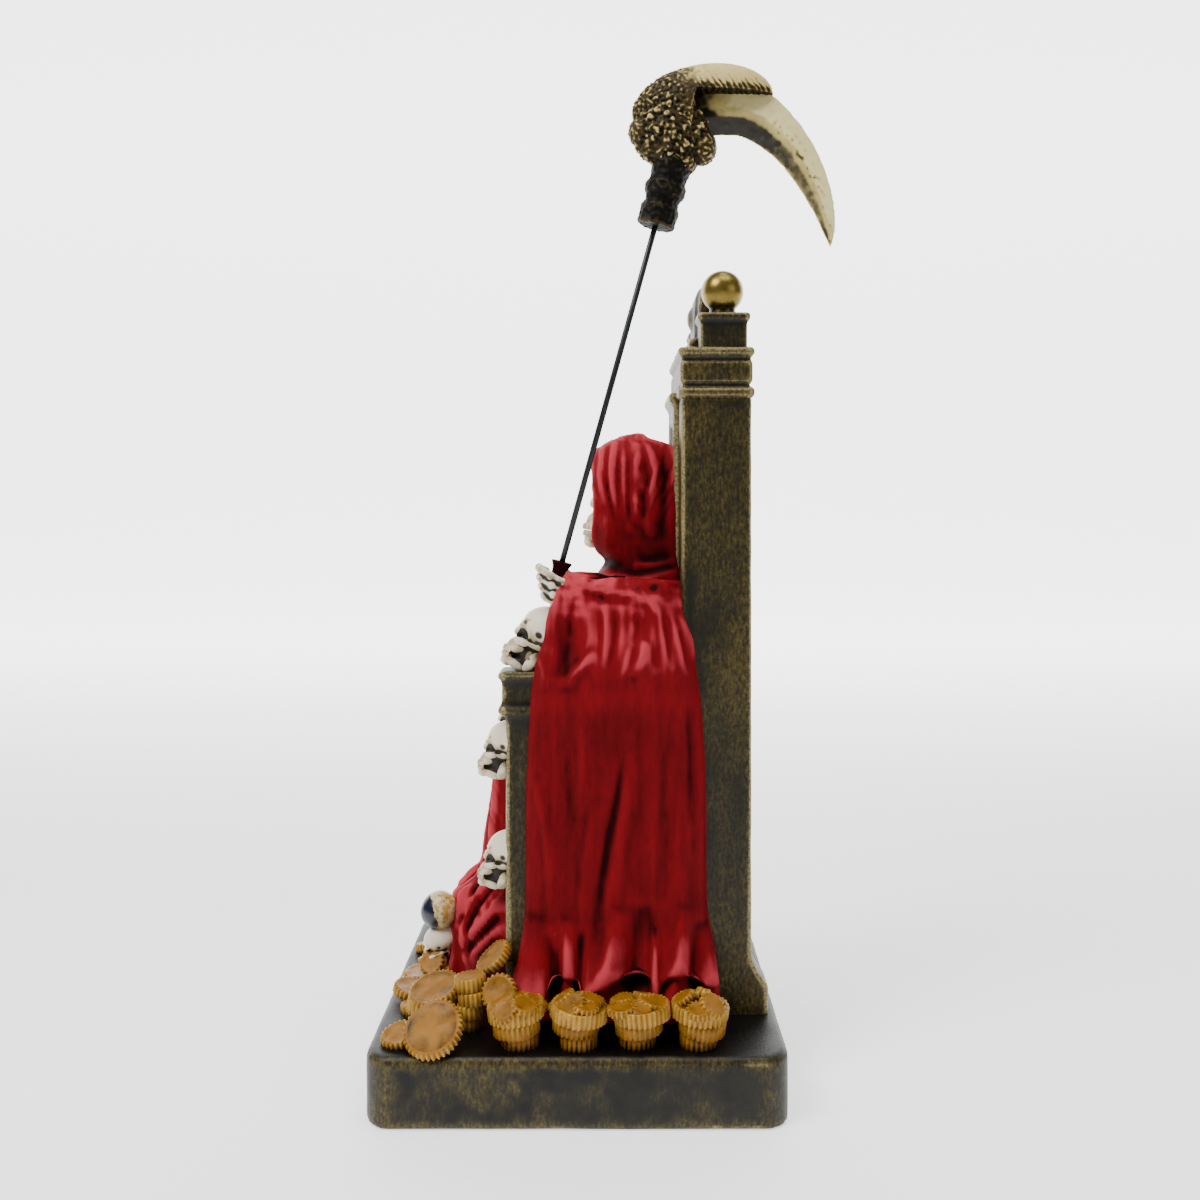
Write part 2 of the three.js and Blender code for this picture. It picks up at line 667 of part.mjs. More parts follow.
function coin(x, y, z, radius, tiltX, tiltY) {
  const disc = new THREE.CylinderGeometry(radius, radius, COIN.thickness, COIN.sides).rotateX(Math.PI / 2);
  return placed(solidOf(disc), { x, y, z, turn: [tiltX, tiltY, 0] });
}

// Heaps in front of the bunches: distance from the middle and from the front
// edge of the base, number of coins, top radius and taper
const HEAPS = [
  [35, 17.2, 2, 7.6, 0.4],
  [37.5, 28.2, 4, 4.8, 0.3],
  [-36, 19.2, 2, 8, 0.6],
  [-34, 32.2, 2, 6.6, 0.4],
];

// Loose coins: distance from the middle and from the front edge, height of the
// coin's middle, radius, and tilt in degrees about X and Y
const LOOSE_COINS = [
  [35, 17.2, 10.2, 7.8, 12, 16],
  [49.5, 19, 5.2, 8.8, 12, 36],
  [46, 8.8, 1.8, 5.4, 10, 14],
  [30, 34.2, 17.7, 6.1, 39, 15],
  [42, 36.9, 12.4, 5.4, 15, 55],
  [12.6, 13, 9.2, 4.2, 10, 50],
  [24.5, 12.2, 1.4, 7, 8, -4],
  [16, 7.2, 2.2, 6, -14, 4],
  [1, 8.7, 1.2, 6.8, 6, 0],
  [-7, 11.2, 3.4, 6, 18, -10],
  [-22, 8.7, 1.6, 6.8, 10, -12],
  [-37, 17.2, 9.2, 8, 12, -12],
  [-48, 11.2, 2.4, 6.6, 8, -22],
];

function coins() {
  const heap = HEAPS.map(([x, distance, ...rest], k) => bunch(x, baseFront + distance, k + 1, ...rest));
  const { count, fromFront, pitch, inset, coins: near, farCoins, radius, taper } = BUNCHES;
  const sideX = BASE.width / 2 - inset;
  for (let k = 0; k < count; k++) {
    const y = baseFront + fromFront + k * pitch;
    heap.push(bunch(sideX, y, k, near, radius, taper));
    heap.push(bunch(-sideX, y, k + 5, farCoins, radius, taper));
  }
  LOOSE_COINS.forEach(([x, distance, ...rest]) => heap.push(coin(x, baseFront + distance, ...rest)));
  return join(heap);
}

// The globe on a skull that stands on coins of its own
function globe() {
  const { x, fromFront, radius, skull: height, coins: count, coinRadius, sink } = GLOBE;
  const y = baseFront + fromFront;
  const chin = count * COIN.step - sink;
  const heap = bunch(x, y + 1, 2, count, coinRadius, 0.4);
  const ball = ellipsoid(x, y, chin + height - sink + radius, radius, radius, radius, [0, 0, 0], 9, 6);
  return join([heap, ball, skull(plainSkull, height, x, y + 1, chin, { tilt: 10, turn: 20 })]);
}

function castFigure() {
  const pillar = join([post(), finial()]);
  const postX = THRONE.halfWidth - SEAT.postWidth / 2;
  const postSkulls = join(
    [POST_SKULL.upper, POST_SKULL.lower].map((chin) =>
      skull(plainSkull, POST_SKULL.height, postX, SEAT.postFront - POST_SKULL.proud, chin, POST_SKULL),
    ),
  );
  const sides = join([pillar, postSkulls]);
  const throne = join([base(), backWall(), seat(), sides, mirrored(sides)]);
  const { height, behindFront, sink, farBack } = SIDE_SKULL;
  const nearY = armFront + behindFront;
  const farY = nearY + farBack;
  const sideSkulls = [
    skull(fineSkull, height, armX, nearY, armTop - sink, SIDE_SKULL),
    skull(fineSkull, height, -armX, farY, armTop - sink, SIDE_SKULL),
  ];
  const head = skull(fineSkull, FACE.height, 0, FACE.middle, FACE.chin, FACE);
  const cloth = join([legs(), torso(), cape(RAISED_TOP), mirrored(cape(LOWERED_TOP)), hood()]);
  const hand = restingHand(-armX, farY + 9, armTop + height * 0.8);
  const whole = join([throne, cloth, head, ...sideSkulls, hand, coins(), globe(), fist(), stub()]);
  return whole.subtract(alongWire(-WIRE.inStub - WIRE.clearance, 3 * WIRE.inStub, wireBore));
}

function scytheRod() {
  return alongWire(-WIRE.inStub, WIRE.visible + WIRE.inSocket, WIRE.radius);
}

// Width of the blade across its curve and step of its outer edge from the
// circle, by angle round the blade's own middle
const BLADE_WIDTH = [[20, 22], [34, 19], [46, 15.4], [60, 12.2], [73, 9.5], [87, 5], [91, 2.6], [94, 0.6]];
const BLADE_OUTER = [[20, -7], [30, -3], [38, -0.6], [44, 0], [86, 0], [94, -1.3]];

function blade() {
  const { radius, middleY, middleZ, from, to, thickness, ridge } = BLADE;
  const steps = 10;
  const bevel = 0.12;
  const rings = [];
  for (let k = 0; k <= steps; k++) {
    const degrees = from + (to - from) * (k / steps) ** 0.85;
    const width = follow(BLADE_WIDTH, degrees);
    const outer = radius + follow(BLADE_OUTER, degrees);
    const inner = outer - width;
    const half = (thickness / 2) * Math.min(1, 0.12 + width / 15);
    const angle = degrees * RAD;
    const point = (distance, side) =>
      at(side, middleY + distance * Math.sin(angle), middleZ + distance * Math.cos(angle));
    rings.push([
      point(inner, 0),
      point(inner + width * ridge, half),
      point(outer - width * bevel, half * 0.7),
      point(outer, 0),
      point(outer - width * bevel, -half * 0.7),
      point(inner + width * ridge, -half),
    ]);
  }
  return loft(rings);
}

// Height and outward step of the socket's bands above its mouth
const SOCKET_BANDS = [[0, 0.1], [6, 0.2], [7, -0.5], [9, -0.4], [10, 0.3], [13, 0.3], [14, -0.4], [21, -0.2]];

// The knotted head between socket and blade, with the crest over it
function scytheHead() {
  const knots = new THREE.SphereGeometry(1, 9, 6).rotateX(Math.PI / 2);
  const place = knots.getAttribute("position");
  for (let i = 0; i < place.count; i++) {
    const p = at(place.getX(i), place.getY(i), place.getZ(i));
    const curl = 1 + KNOT.curl * Math.sin(p.y * 9) * Math.sin(p.z * 9 + 1);
    p.multiplyScalar(curl);
    place.setXYZ(i, p.x * KNOT.width, KNOT.y + p.y * KNOT.length, KNOT.z + p.z * KNOT.height);
  }
  const lobes = LOBES.map(([forward, up, ...radii]) =>
    ellipsoid(0, KNOT.y + forward, KNOT.z + up, ...radii, [0, 0, 0], 6, 4),
  );
  const { y, z, length, height: rise, width, tilt, cutFrom, floor } = CREST;
  const dome = ellipsoid(0, y, z, width, length, rise, [tilt, 0, 0], 11, 7);
  const under = block(-length, length, cutFrom, 2 * (y + length), 0, floor);
  const socket = loft(
    SOCKET_BANDS.map(([height, grow]) => {
      const radius = SOCKET.mouth + (SOCKET.top - SOCKET.mouth) * (height / SOCKET.length) + grow;
      return roundRing(8, (cos, sin) =>
        at(
          radius * cos,
          height * Math.sin(wireTilt) + radius * sin * Math.cos(wireTilt),
          height * Math.cos(wireTilt) - radius * sin * Math.sin(wireTilt),
        ),
      );
    }),
  );
  const mouth = onWire(WIRE.visible);
  const cast = placed(
    join([solidOf(knots), ...lobes, dome.subtract(under), blade(), socket]),
    { x: mouth.x, y: mouth.y, z: mouth.z },
  );
  const boreEnd = WIRE.visible + WIRE.inSocket + WIRE.clearance;
  return cast.subtract(alongWire(WIRE.visible - SOCKET.length, boreEnd, wireBore));
}

const FINISH = {
  cast_figure: { color: 0x7a2a22, roughness: 0.55, metalness: 0.1 },
  scythe_rod: { color: 0x55585a, roughness: 0.45, metalness: 0.9 },
  scythe_head: { color: 0x8a7a48, roughness: 0.45, metalness: 0.6 },
};

const statue = new THREE.Group();
const pieces = { cast_figure: castFigure(), scythe_rod: scytheRod(), scythe_head: scytheHead() };
for (const [name, solid] of Object.entries(pieces)) {
  const mesh = new THREE.Mesh(geometryOf(solid), new THREE.MeshStandardMaterial(FINISH[name]));
  mesh.name = name;
  mesh.position.z = BASE.height;
  statue.add(mesh);
}

export default statue;
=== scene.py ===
"""Painted looks of a hooded skeleton that sits on a throne with a scythe in its left hand.

Shapes are worked out in millimetres, with heights counted from the top of the base, and
are turned into the frame's metres when a piece is finished. The figure faces -Y, its
left hand is at +X and +Z is up.
"""

import math
import random

import bmesh
import bpy
import numpy as np
from mathutils import Euler, Matrix, Vector, noise


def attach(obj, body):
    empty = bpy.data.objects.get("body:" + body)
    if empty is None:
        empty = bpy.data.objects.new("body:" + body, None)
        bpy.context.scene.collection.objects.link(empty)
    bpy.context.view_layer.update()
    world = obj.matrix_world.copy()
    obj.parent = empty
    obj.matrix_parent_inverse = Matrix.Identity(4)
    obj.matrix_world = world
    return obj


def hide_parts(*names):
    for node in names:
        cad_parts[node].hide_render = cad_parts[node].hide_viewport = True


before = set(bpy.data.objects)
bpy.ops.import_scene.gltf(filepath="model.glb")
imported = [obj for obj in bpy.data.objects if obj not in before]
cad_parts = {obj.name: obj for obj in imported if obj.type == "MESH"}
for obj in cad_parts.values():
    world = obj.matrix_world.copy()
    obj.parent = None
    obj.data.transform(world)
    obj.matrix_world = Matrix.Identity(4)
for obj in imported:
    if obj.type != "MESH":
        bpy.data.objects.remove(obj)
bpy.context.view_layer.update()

bl_info = {
    "name": "Hooded Skeleton on a Throne",
    "version": (1, 0, 0),
    "blender": (4, 5, 0),
    "location": "View3D > Sidebar > Figure",
    "description": "Builds the painted figure, its throne, coins and scythe round the CAD frame",
    "category": "Object",
}

MM = 0.001
BASE_HEIGHT = 20.0
SEED = 7

# Sizes of the casting in millimetres
BASE = {"width": 112.0, "depth": 119.4, "middle": -0.5, "rim": 1.2}
BASE_FRONT = BASE["middle"] - BASE["depth"] / 2
POST = {"inner": 15.0, "outer": 28.0, "front": 30.1, "back": 51.5, "top": 185.8, "capital": 15.3}
CAPITAL_TOP = POST["top"] + POST["capital"]
FINIAL = {"middle": 43.15, "neck": 8.1, "height": 10.5, "neck_half": (5.6, 7.1), "lid_half": (6.5, 8.0)}
WALL = {"front": 28.4, "back": 49.2}
SEAT = {"height": 65.0, "front": -12.0, "side_top": 90.0, "post_front": -22.9, "post_inner": 17.0}
ARMREST = {"front": -25.3, "inner": 15.5, "outer": 29.0, "top": 103.0}
ARM_X = (ARMREST["inner"] + ARMREST["outer"]) / 2
WIRE = {"tilt": math.radians(15.5), "visible": 106.0, "foot": Vector((24.0, -5.9, 136.1))}


def srgb(code):
    """Linear red, green and blue of a hex colour such as #A02830."""
    channels = [int(code[i : i + 2], 16) / 255 for i in (1, 3, 5)]
    return tuple(c / 12.92 if c <= 0.04045 else ((c + 0.055) / 1.055) ** 2.4 for c in channels)


def colour(name, description, code):
    """A colour setting of the paints."""
    return bpy.props.FloatVectorProperty(
        name=name, description=description, default=srgb(code), subtype="COLOR", min=0, max=1
    )


def length(name, description, millimetres):
    """A size setting, shown in the scene's own unit."""
    return bpy.props.FloatProperty(
        name=name, description=description, default=millimetres * MM, min=0, unit="LENGTH", precision=5
    )


class FigureSizes(bpy.types.PropertyGroup):
    """Sizes of the casting that can be set by themselves"""

    corner: length("Base corner", "Radius of the base's four upright corners", 8.0)
    waviness: length("Waviness", "How far the cast surfaces wander from true", 0.12)
    gather: length("Gathers", "Height of the fine gathers over the shoulders", 0.42)
    reed: length("Reed depth", "Depth of the grooves round a coin's edge", 0.8)
    # Twice as coarse as the real 0.8 mm, so that the grooves still show
    reed_pitch: length("Reed spacing", "Distance from groove to groove round a coin", 1.6)
    coin: length("Coin thickness", "Thickness of a loose coin", 2.9)
    wire: length("Wire radius", "Radius of the scythe's wire", 0.9)
    ball: length("Finial ball", "Radius of the balls on the posts", 6.5)


class FigurePaints(bpy.types.PropertyGroup):
    """Colours of the paints"""

    red: colour("Red", "Paint of the robe, the cape and the hood", "#80151C")
    # Besides the wash in the folds, this red paints the shade under the cape's hem, in the bend of the
    # arm, down the hanging cloth and on the hood's back and neck
    red_deep: colour("Red in folds", "Wash that stays in the folds", "#260508")
    # Besides the dry brush, this red paints the highlights where the satin would shine: over the upper
    # cape, on the hem's flare and at the hood's crown
    red_light: colour("Red on ridges", "Dry-brushed ridges of the cloth", "#CC4450")
    throne: colour("Throne", "Ground colour of the throne and the base", "#12130D")
    throne_gold: colour("Throne gold", "Gold brushed over the throne", "#6A5A28")
    bone: colour("Bone", "Paint of the skulls and the hands", "#CDBA94")
    # On the skulls this brown also paints shade from the cheeks down
    bone_wash: colour("Bone wash", "Brown wash in the hollows of the bone", "#241C10")
    coin: colour("Coins", "Ochre gold of the coins", "#96640F")
    # Besides the wash, this paints the shade low down in the stacks towards the back
    coin_wash: colour("Coin wash", "Dark wash between the coins", "#1E1404")
    navy: colour("Navy", "Ground colour of the globe", "#10142A")
    cream: colour("Cream", "Patches on the globe", "#D8C79A")
    head: colour("Scythe head", "Antique gold of the scythe's knotted head", "#40341A")
    head_gold: colour("Scythe specks", "Gold on the head's high points", "#D6C07C")
    blade: colour("Blade", "Bright gold of the blade", "#E0CC80")
    wire: colour("Wire", "Drawn steel wire", "#3C3E40")
    floor: colour("Floor", "Pale ground under the figure", "#F2F2F2")


def sizes():
    return bpy.context.scene.figure_sizes


def paints():
    return bpy.context.scene.figure_paints


# Shared shaping


def bump(value, middle, width):
    """1 at the middle, dying away on both sides."""
    return math.exp(-(((value - middle) / width) ** 2))


def blend(value, low, high):
    """0 below low, 1 above high, smooth between them."""
    t = max(0.0, min(1.0, (value - low) / (high - low)))
    return t * t * (3 - 2 * t)


def power(value, exponent):
    """A power that keeps the sign."""
    return math.copysign(abs(value) ** exponent, value)


def follow(stations, place):
    """A smooth value read from a short list of (place, value) stations."""
    last = len(stations) - 1
    if place <= stations[0][0]:
        return stations[0][1]
    if place >= stations[last][0]:
        return stations[last][1]
    i = next(k for k in range(last) if stations[k + 1][0] > place)

    def slope(k):
        before, after = stations[max(k - 1, 0)], stations[min(k + 1, last)]
        return (after[1] - before[1]) / (after[0] - before[0])

    (a, low), (b, high) = stations[i], stations[i + 1]
    span = b - a
    t = (place - a) / span
    ends = low * (1 + 2 * t) * (1 - t) ** 2 + high * t * t * (3 - 2 * t)
    return ends + span * t * (1 - t) * (slope(i) * (1 - t) - slope(i + 1) * t)


def soft_line(line):
    """A smooth run of points through the few points that a fold is drawn with."""
    steps = 4
    stations = [list(enumerate(values)) for values in zip(*line)]
    places = [k / steps for k in range((len(line) - 1) * steps + 1)]
    return np.array([[follow(values, place) for values in stations] for place in places])


def lift(folds, across, up):
    """How far cloth stands out at each point, from folds drawn as lines. Each has a height and a
    width, dies away at both ends and falls more gently on its far side."""
    total = np.zeros(len(across))
    for height, width, line in folds:
        drawn = soft_line(line)
        low, high = drawn.min(axis=0) - 4 * width, drawn.max(axis=0) + 4 * width
        inside = (across > low[0]) & (across < high[0]) & (up > low[1]) & (up < high[1])
        near = np.flatnonzero(inside)
        spots = np.stack([across[near], up[near]], axis=1)
        nearest, share, side = np.full(len(near), np.inf), np.zeros(len(near)), np.zeros(len(near))
        for k, (start, end) in enumerate(zip(drawn, drawn[1:])):
            along = end - start
            t = np.clip((spots - start) @ along / (along @ along), 0, 1)
            gap = spots - start - t[:, None] * along
            distance = (gap**2).sum(axis=1)
            closer = distance < nearest
            share = np.where(closer, (k + t) / (len(drawn) - 1), share)
            side = np.where(closer, gap[:, 0], side)
            nearest = np.where(closer, distance, nearest)
        spread = width * np.where(side > 0, 1.3, 0.85)
        taper = np.clip(np.sin(np.pi * share), 0, 1)
        total[near] += height * taper * np.exp(-nearest / spread**2)
    return total


def drape(bm, folds, across, facing, both=False):
    """Raises folds on a skin along its normals. They are drawn over the axis across (0 for X, 1
    for Y) and the height, as seen against the direction facing, and also from behind if both."""
    bm.normal_update()
    places = np.array([vert.co for vert in bm.verts])
    normals = np.array([vert.normal for vert in bm.verts])
    seen = normals @ np.array(facing) * 2
    seen = np.clip(np.abs(seen) if both else seen, 0, 1)
    places += normals * (lift(folds, places[:, across], places[:, 2]) * seen)[:, None]
    for vert, place in zip(bm.verts, places):
        vert.co = place


def crinkle(bm, height, spot):
    """Fine gathers: moves each point along its normal by noise read at spot(point), height(point)
    tall."""
    bm.normal_update()
    for vert in bm.verts:
        tall = height(vert.co)
        if tall:
            vert.co += vert.normal * tall * noise.noise(spot(vert.co))


def rounded(bm, edges, offset, segments):
    """Rounds these edges."""
    bmesh.ops.bevel(
        bm, geom=edges, offset=offset, segments=segments, profile=0.5, affect="EDGES", material=-1
    )


def edges_of(verts):
    return list(dict.fromkeys(edge for vert in verts for edge in vert.link_edges))


def skin(bm, around, rows, place):
    """A closed sphere whose points go where place(turn, share) says: turn is 0 at the front
    and grows towards +X, and share goes from 0 at the bottom to 1 at the top."""
    sphere = bmesh.ops.create_uvsphere(bm, u_segments=around, v_segments=rows, radius=1)
    for vert in sphere["verts"]:
        share = math.acos(max(-1.0, min(1.0, -vert.co.z))) / math.pi
        vert.co = place(math.atan2(vert.co.x, -vert.co.y), share)


def ball(bm, middle, radii, turn=(0, 0, 0), around=20, rows=12):
    """An oval turned by degrees about X, Y and Z."""
    rotation = Euler([math.radians(a) for a in turn]).to_matrix().to_4x4()
    matrix = Matrix.Translation(middle) @ rotation @ Matrix.Diagonal((*radii, 1))
    bmesh.ops.create_uvsphere(bm, u_segments=around, v_segments=rows, radius=1, matrix=matrix)


def bar(bm, start, end, start_radius, end_radius, segments=12):
    """A round bar between two points."""
    start, end = Vector(start), Vector(end)
    along = end - start
    matrix = Matrix.Translation((start + end) / 2) @ along.to_track_quat("Z", "Y").to_matrix().to_4x4()
    bmesh.ops.create_cone(
        bm,
        cap_ends=True,
        segments=segments,
        radius1=start_radius,
        radius2=end_radius,
        depth=along.length,
        matrix=matrix,
    )


def block(bm, x, y, z, edge=0.0):
    """A block between pairs of limits, its edges rounded."""
    size = Matrix.Diagonal((x[1] - x[0], y[1] - y[0], z[1] - z[0], 1))
    middle = Matrix.Translation((sum(x) / 2, sum(y) / 2, sum(z) / 2))
    cube = bmesh.ops.create_cube(bm, size=1, matrix=middle @ size)
    if edge:
        rounded(bm, edges_of(cube["verts"]), edge, 3)


def turned(bm, profile, steps, matrix):
    """In an empty bmesh, a profile of (radius, height) that starts and ends on the axis, spun all
    the way round."""
    verts = [bm.verts.new((radius, 0, height)) for radius, height in profile]
    edges = [bm.edges.new(pair) for pair in zip(verts, verts[1:])]
    bmesh.ops.spin(
        bm,
        geom=verts + edges,
        cent=(0, 0, 0),
        axis=(0, 0, 1),
        dvec=(0, 0, 0),
        angle=math.tau,
        steps=steps,
        use_merge=True,
        use_duplicate=False,
    )
    bmesh.ops.remove_doubles(bm, verts=bm.verts, dist=1e-4)
    bmesh.ops.transform(bm, matrix=matrix, verts=bm.verts)


def press(bm, middle, radii, direction):
    """Pushes each point inside an oval along a direction until it lies on the oval's far side."""
    middle, direction = Vector(middle), Vector(direction).normalized()
    step = Vector([d / r for d, r in zip(direction, radii)])
    size = step.length_squared
    for vert in bm.verts:
        place = Vector([(c - m) / r for c, m, r in zip(vert.co, middle, radii)])
        inside = place.length_squared - 1
        if inside < 0:
            along = step.dot(place)
            vert.co += direction * ((math.sqrt(along * along - size * inside) - along) / size)


def smooth(bm, rounds):
    for _ in range(rounds):
        bmesh.ops.smooth_vert(
            bm, verts=bm.verts, factor=0.5, use_axis_x=True, use_axis_y=True, use_axis_z=True
        )


def fuse(bm, voxel, rounds=1):
    """Overlapping closed shells as the one skin of a casting, with softened edges."""
    mesh = bpy.data.meshes.new("rough")
    bm.to_mesh(mesh)
    bm.free()
    rough = bpy.data.objects.new("rough", mesh)
    bpy.context.scene.collection.objects.link(rough)
    remesh = rough.modifiers.new("remesh", "REMESH")
    remesh.mode = "VOXEL"
    remesh.voxel_size = voxel
    fused = bmesh.new()
    evaluated = rough.evaluated_get(bpy.context.evaluated_depsgraph_get())
    fused.from_mesh(evaluated.to_mesh())
    evaluated.to_mesh_clear()
    bpy.data.objects.remove(rough)
    bpy.data.meshes.remove(mesh)
    smooth(fused, rounds)
    return fused


def roughen(bm, height, spots):
    """Moves each point along its normal by gentle noise in spots of this size."""
    bm.normal_update()
    for vert in bm.verts:
        vert.co += vert.normal * height * noise.noise(vert.co / spots)


def mark_hollows(mesh, reach, depth, painted_shade_and_tone):
    """Stores how deep each point lies below the smoothed skin round it, as -1 to 1: paint washes stay in
    the hollows and a dry brush touches the ridges. The skin is smoothed over the reach, and the depth is
    the one that counts as 1. painted_shade_and_tone carries painted shade and painted highlights as well
    as the paint's own tone. Where it is above 0 it darkens a point as a hollow does, and below 0 it
    brightens it as a ridge does, so the stored hollow also carries that painted light and shade."""
    fewest_rounds, most_rounds = 2, 60
    count = len(mesh.vertices)
    place = np.empty(count * 3)
    mesh.vertices.foreach_get("co", place)
    place = place.reshape(-1, 3)
    pairs = np.empty(len(mesh.edges) * 2, dtype=np.int64)
    mesh.edges.foreach_get("vertices", pairs)
    a, b = pairs.reshape(-1, 2).T
    ends, others = np.concatenate([a, b]), np.concatenate([b, a])
    degree = np.maximum(np.bincount(ends, minlength=count), 1)
    spacing = np.median(np.linalg.norm(place[a] - place[b], axis=1))
    rounds = int(max(fewest_rounds, min(most_rounds, (reach * MM / spacing) ** 2)))
    soft = place.copy()
    for _ in range(rounds):
        soft = np.stack(
            [np.bincount(ends, soft[others, k], minlength=count) / degree for k in range(3)], axis=1
        )
    normals = np.empty(count * 3)
    mesh.vertices.foreach_get("normal", normals)
    sunk = ((soft - place) * normals.reshape(-1, 3)).sum(axis=1) / (depth * MM)
    sunk = np.clip(sunk, -1, 1) + painted_shade_and_tone
    layer = mesh.attributes.new("hollow", "FLOAT", "POINT")
    layer.data.foreach_set("value", np.clip(sunk, -1, 1).astype(np.float32))


def piece(bm, name, make, node="cast_figure", *, depth, reach=1.6, painted_shade_and_tone=None):
    """Finishes a piece: normals, metres, mesh, hollows, paint and its place in the frame. The last three
    are what mark_hollows asks for, in millimetres, with painted_shade_and_tone as a function of a point
    that adds painted shade, painted highlights and tone."""
    bmesh.ops.recalc_face_normals(bm, faces=bm.faces)
    stored = bm.verts.layers.float.get("painted_shade_and_tone")
    dark = np.array([vert[stored] for vert in bm.verts]) if stored else 0.0
    if painted_shade_and_tone:
        dark = dark + np.array([painted_shade_and_tone(vert.co) for vert in bm.verts])
    matrix = Matrix.Scale(MM, 4) @ Matrix.Translation((0, 0, BASE_HEIGHT))
    bmesh.ops.transform(bm, matrix=matrix, verts=bm.verts)
    mesh = bpy.data.meshes.new(name)
    bm.to_mesh(mesh)
    bm.free()
    mesh.shade_smooth()
    mark_hollows(mesh, reach, depth, dark)
    mesh.materials.append(paint(make))
    made = bpy.data.objects.new(name, mesh)
    bpy.context.scene.collection.objects.link(made)
    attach(made, "root")
    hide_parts(node)


# Paints


def add_node(tree, kind, inputs=None, **settings):
    """Adds a shader node, sets its fields, and fills or links its inputs."""
    made = tree.nodes.new("ShaderNode" + kind)
    for name, value in settings.items():
        setattr(made, name, value)
    for name, value in (inputs or {}).items():
        if isinstance(value, bpy.types.NodeSocket):
            tree.links.new(value, made.inputs[name])
        else:
            made.inputs[name].default_value = value
    return made


def cover(tree, *ramps):
    """How much of a coat stays on: the product of ramps of (value, start, full, most), each of
    which goes from 0 to most as the value goes from start to full."""
    stays = 1.0
    for value, start, full, most in ramps:
        inputs = {"Value": value, "From Min": start, "From Max": full, "To Min": 0.0, "To Max": most}
        ramp = add_node(tree, "MapRange", inputs, interpolation_type="SMOOTHSTEP").outputs[0]
        stays = add_node(tree, "Math", {0: stays, 1: ramp}, operation="MULTIPLY").outputs[0]
    return stays


def lay_coats(tree, ground, *coats):
    """The ground colour with coats laid over it. Each has a colour and the ramps that cover it."""
    tone = (*ground, 1)
    for over, *ramps in coats:
        inputs = {0: cover(tree, *ramps), 6: tone, 7: (*over, 1)}
        tone = add_node(tree, "Mix", inputs, data_type="RGBA").outputs[2]
    return tone


def grain(tree, millimetres, detail=4.0, stretch=(1, 1, 1)):
    """Noise whose spots are about this size, on Object coordinates."""
    place = add_node(tree, "TexCoord").outputs["Object"]
    scaled = add_node(tree, "Mapping", {"Vector": place, "Scale": stretch}).outputs[0]
    inputs = {"Vector": scaled, "Scale": 1 / (millimetres * MM), "Detail": detail, "Roughness": 0.6}
    return add_node(tree, "TexNoise", inputs).outputs[0]


def new_material(name):
    material = bpy.data.materials.new(name)
    material.use_nodes = True
    material.node_tree.nodes.clear()
    return material, material.node_tree


def finish_material(tree, base, bump_height, **values):
    """The Principled shader with a base colour, a bump of (height, millimetres) and plain values."""
    height, distance = bump_height
    normal = add_node(tree, "Bump", {"Height": height, "Distance": distance * MM, "Strength": 0.6})
    inputs = {"Base Color": base, "Normal": normal.outputs[0], **values}
    shader = add_node(tree, "BsdfPrincipled", inputs)
    add_node(tree, "OutputMaterial", {"Surface": shader.outputs[0]})


def brushed_paint(name, tones, wash_from, light_from, spots, values, stretch=1.0):
    """Hobby paint on cast resin, put on in three goes: a ground coat, a thin dark wash that runs into the
    hollows, and a nearly dry brush of a lighter colour over the ridges. Where a piece stores painted shade
    or painted highlights in its hollow attribute, the wash and the lighter colour paint those too. tones
    are the three colours. wash_from and light_from are (start, full, most) over the depth in the hollow
    attribute. The paint is uneven in spots of this size in millimetres."""
    ground, wash, light = tones
    material, tree = new_material(name)
    hollow = add_node(tree, "Attribute", attribute_name="hollow").outputs["Fac"]
    specks = grain(tree, spots, 6.0, (1, 1, stretch))
    patches = grain(tree, spots * 5, stretch=(1, 1, stretch))
    uneven = add_node(tree, "Math", {0: specks, 1: 0.4, 2: -0.2}, operation="MULTIPLY_ADD").outputs[0]
    level = add_node(tree, "Math", {0: hollow, 1: uneven}, operation="ADD").outputs[0]
    tone = lay_coats(
        tree,
        ground,
        (wash, (patches, 0.35, 0.7, 0.3)),
        (wash, (level, *wash_from)),
        (light, (level, *light_from)),
    )
    finish_material(tree, tone, (specks, 0.1), **values)
    return material


def red_paint():
    """Satin acrylic on cast cloth: glows on the ridges with dry brush and with painted highlights in place
    of its sheen, and is almost black red deep in the folds and where shade is painted.
    """
    p = paints()
    values = {"Roughness": 0.55, "IOR": 1.5, "Specular IOR Level": 0.02}
    tones = (p.red, p.red_deep, p.red_light)
    wash, light = (0.05, 1.0, 1.0), (-0.1, -1.0, 0.75)
    return brushed_paint("satin_red_acrylic", tones, wash, light, 1.4, values, stretch=0.3)


def bone_paint():
    """Matt ivory acrylic with a brown wash: chalky on the domes, brown in sockets and teeth, and on the
    skulls brown from the cheeks down as painted shade.
    """
    p = paints()
    tones = (p.bone, p.bone_wash, srgb("#FFF4DC"))
    wash, light = (-0.2, 0.5, 1.0), (-0.1, -0.8, 0.75)
    return brushed_paint("matt_ivory_acrylic", tones, wash, light, 1.2, {"Roughness": 0.5, "IOR": 1.48})


def coin_paint():
    """Ochre metallic acrylic with a dark wash: warm rims, and nearly black between the coins, where the
    wash also paints shade low in the stacks.
    """
    p = paints()
    tones = (p.coin, p.coin_wash, srgb("#ECBE58"))
    wash, light = (0.05, 0.6, 1.0), (-0.3, -1.3, 0.7)
    values = {"Roughness": 0.45, "IOR": 1.5, "Specular IOR Level": 0.25, "Metallic": 0.1}
    return brushed_paint("ochre_gold_acrylic", tones, wash, light, 0.9, values)


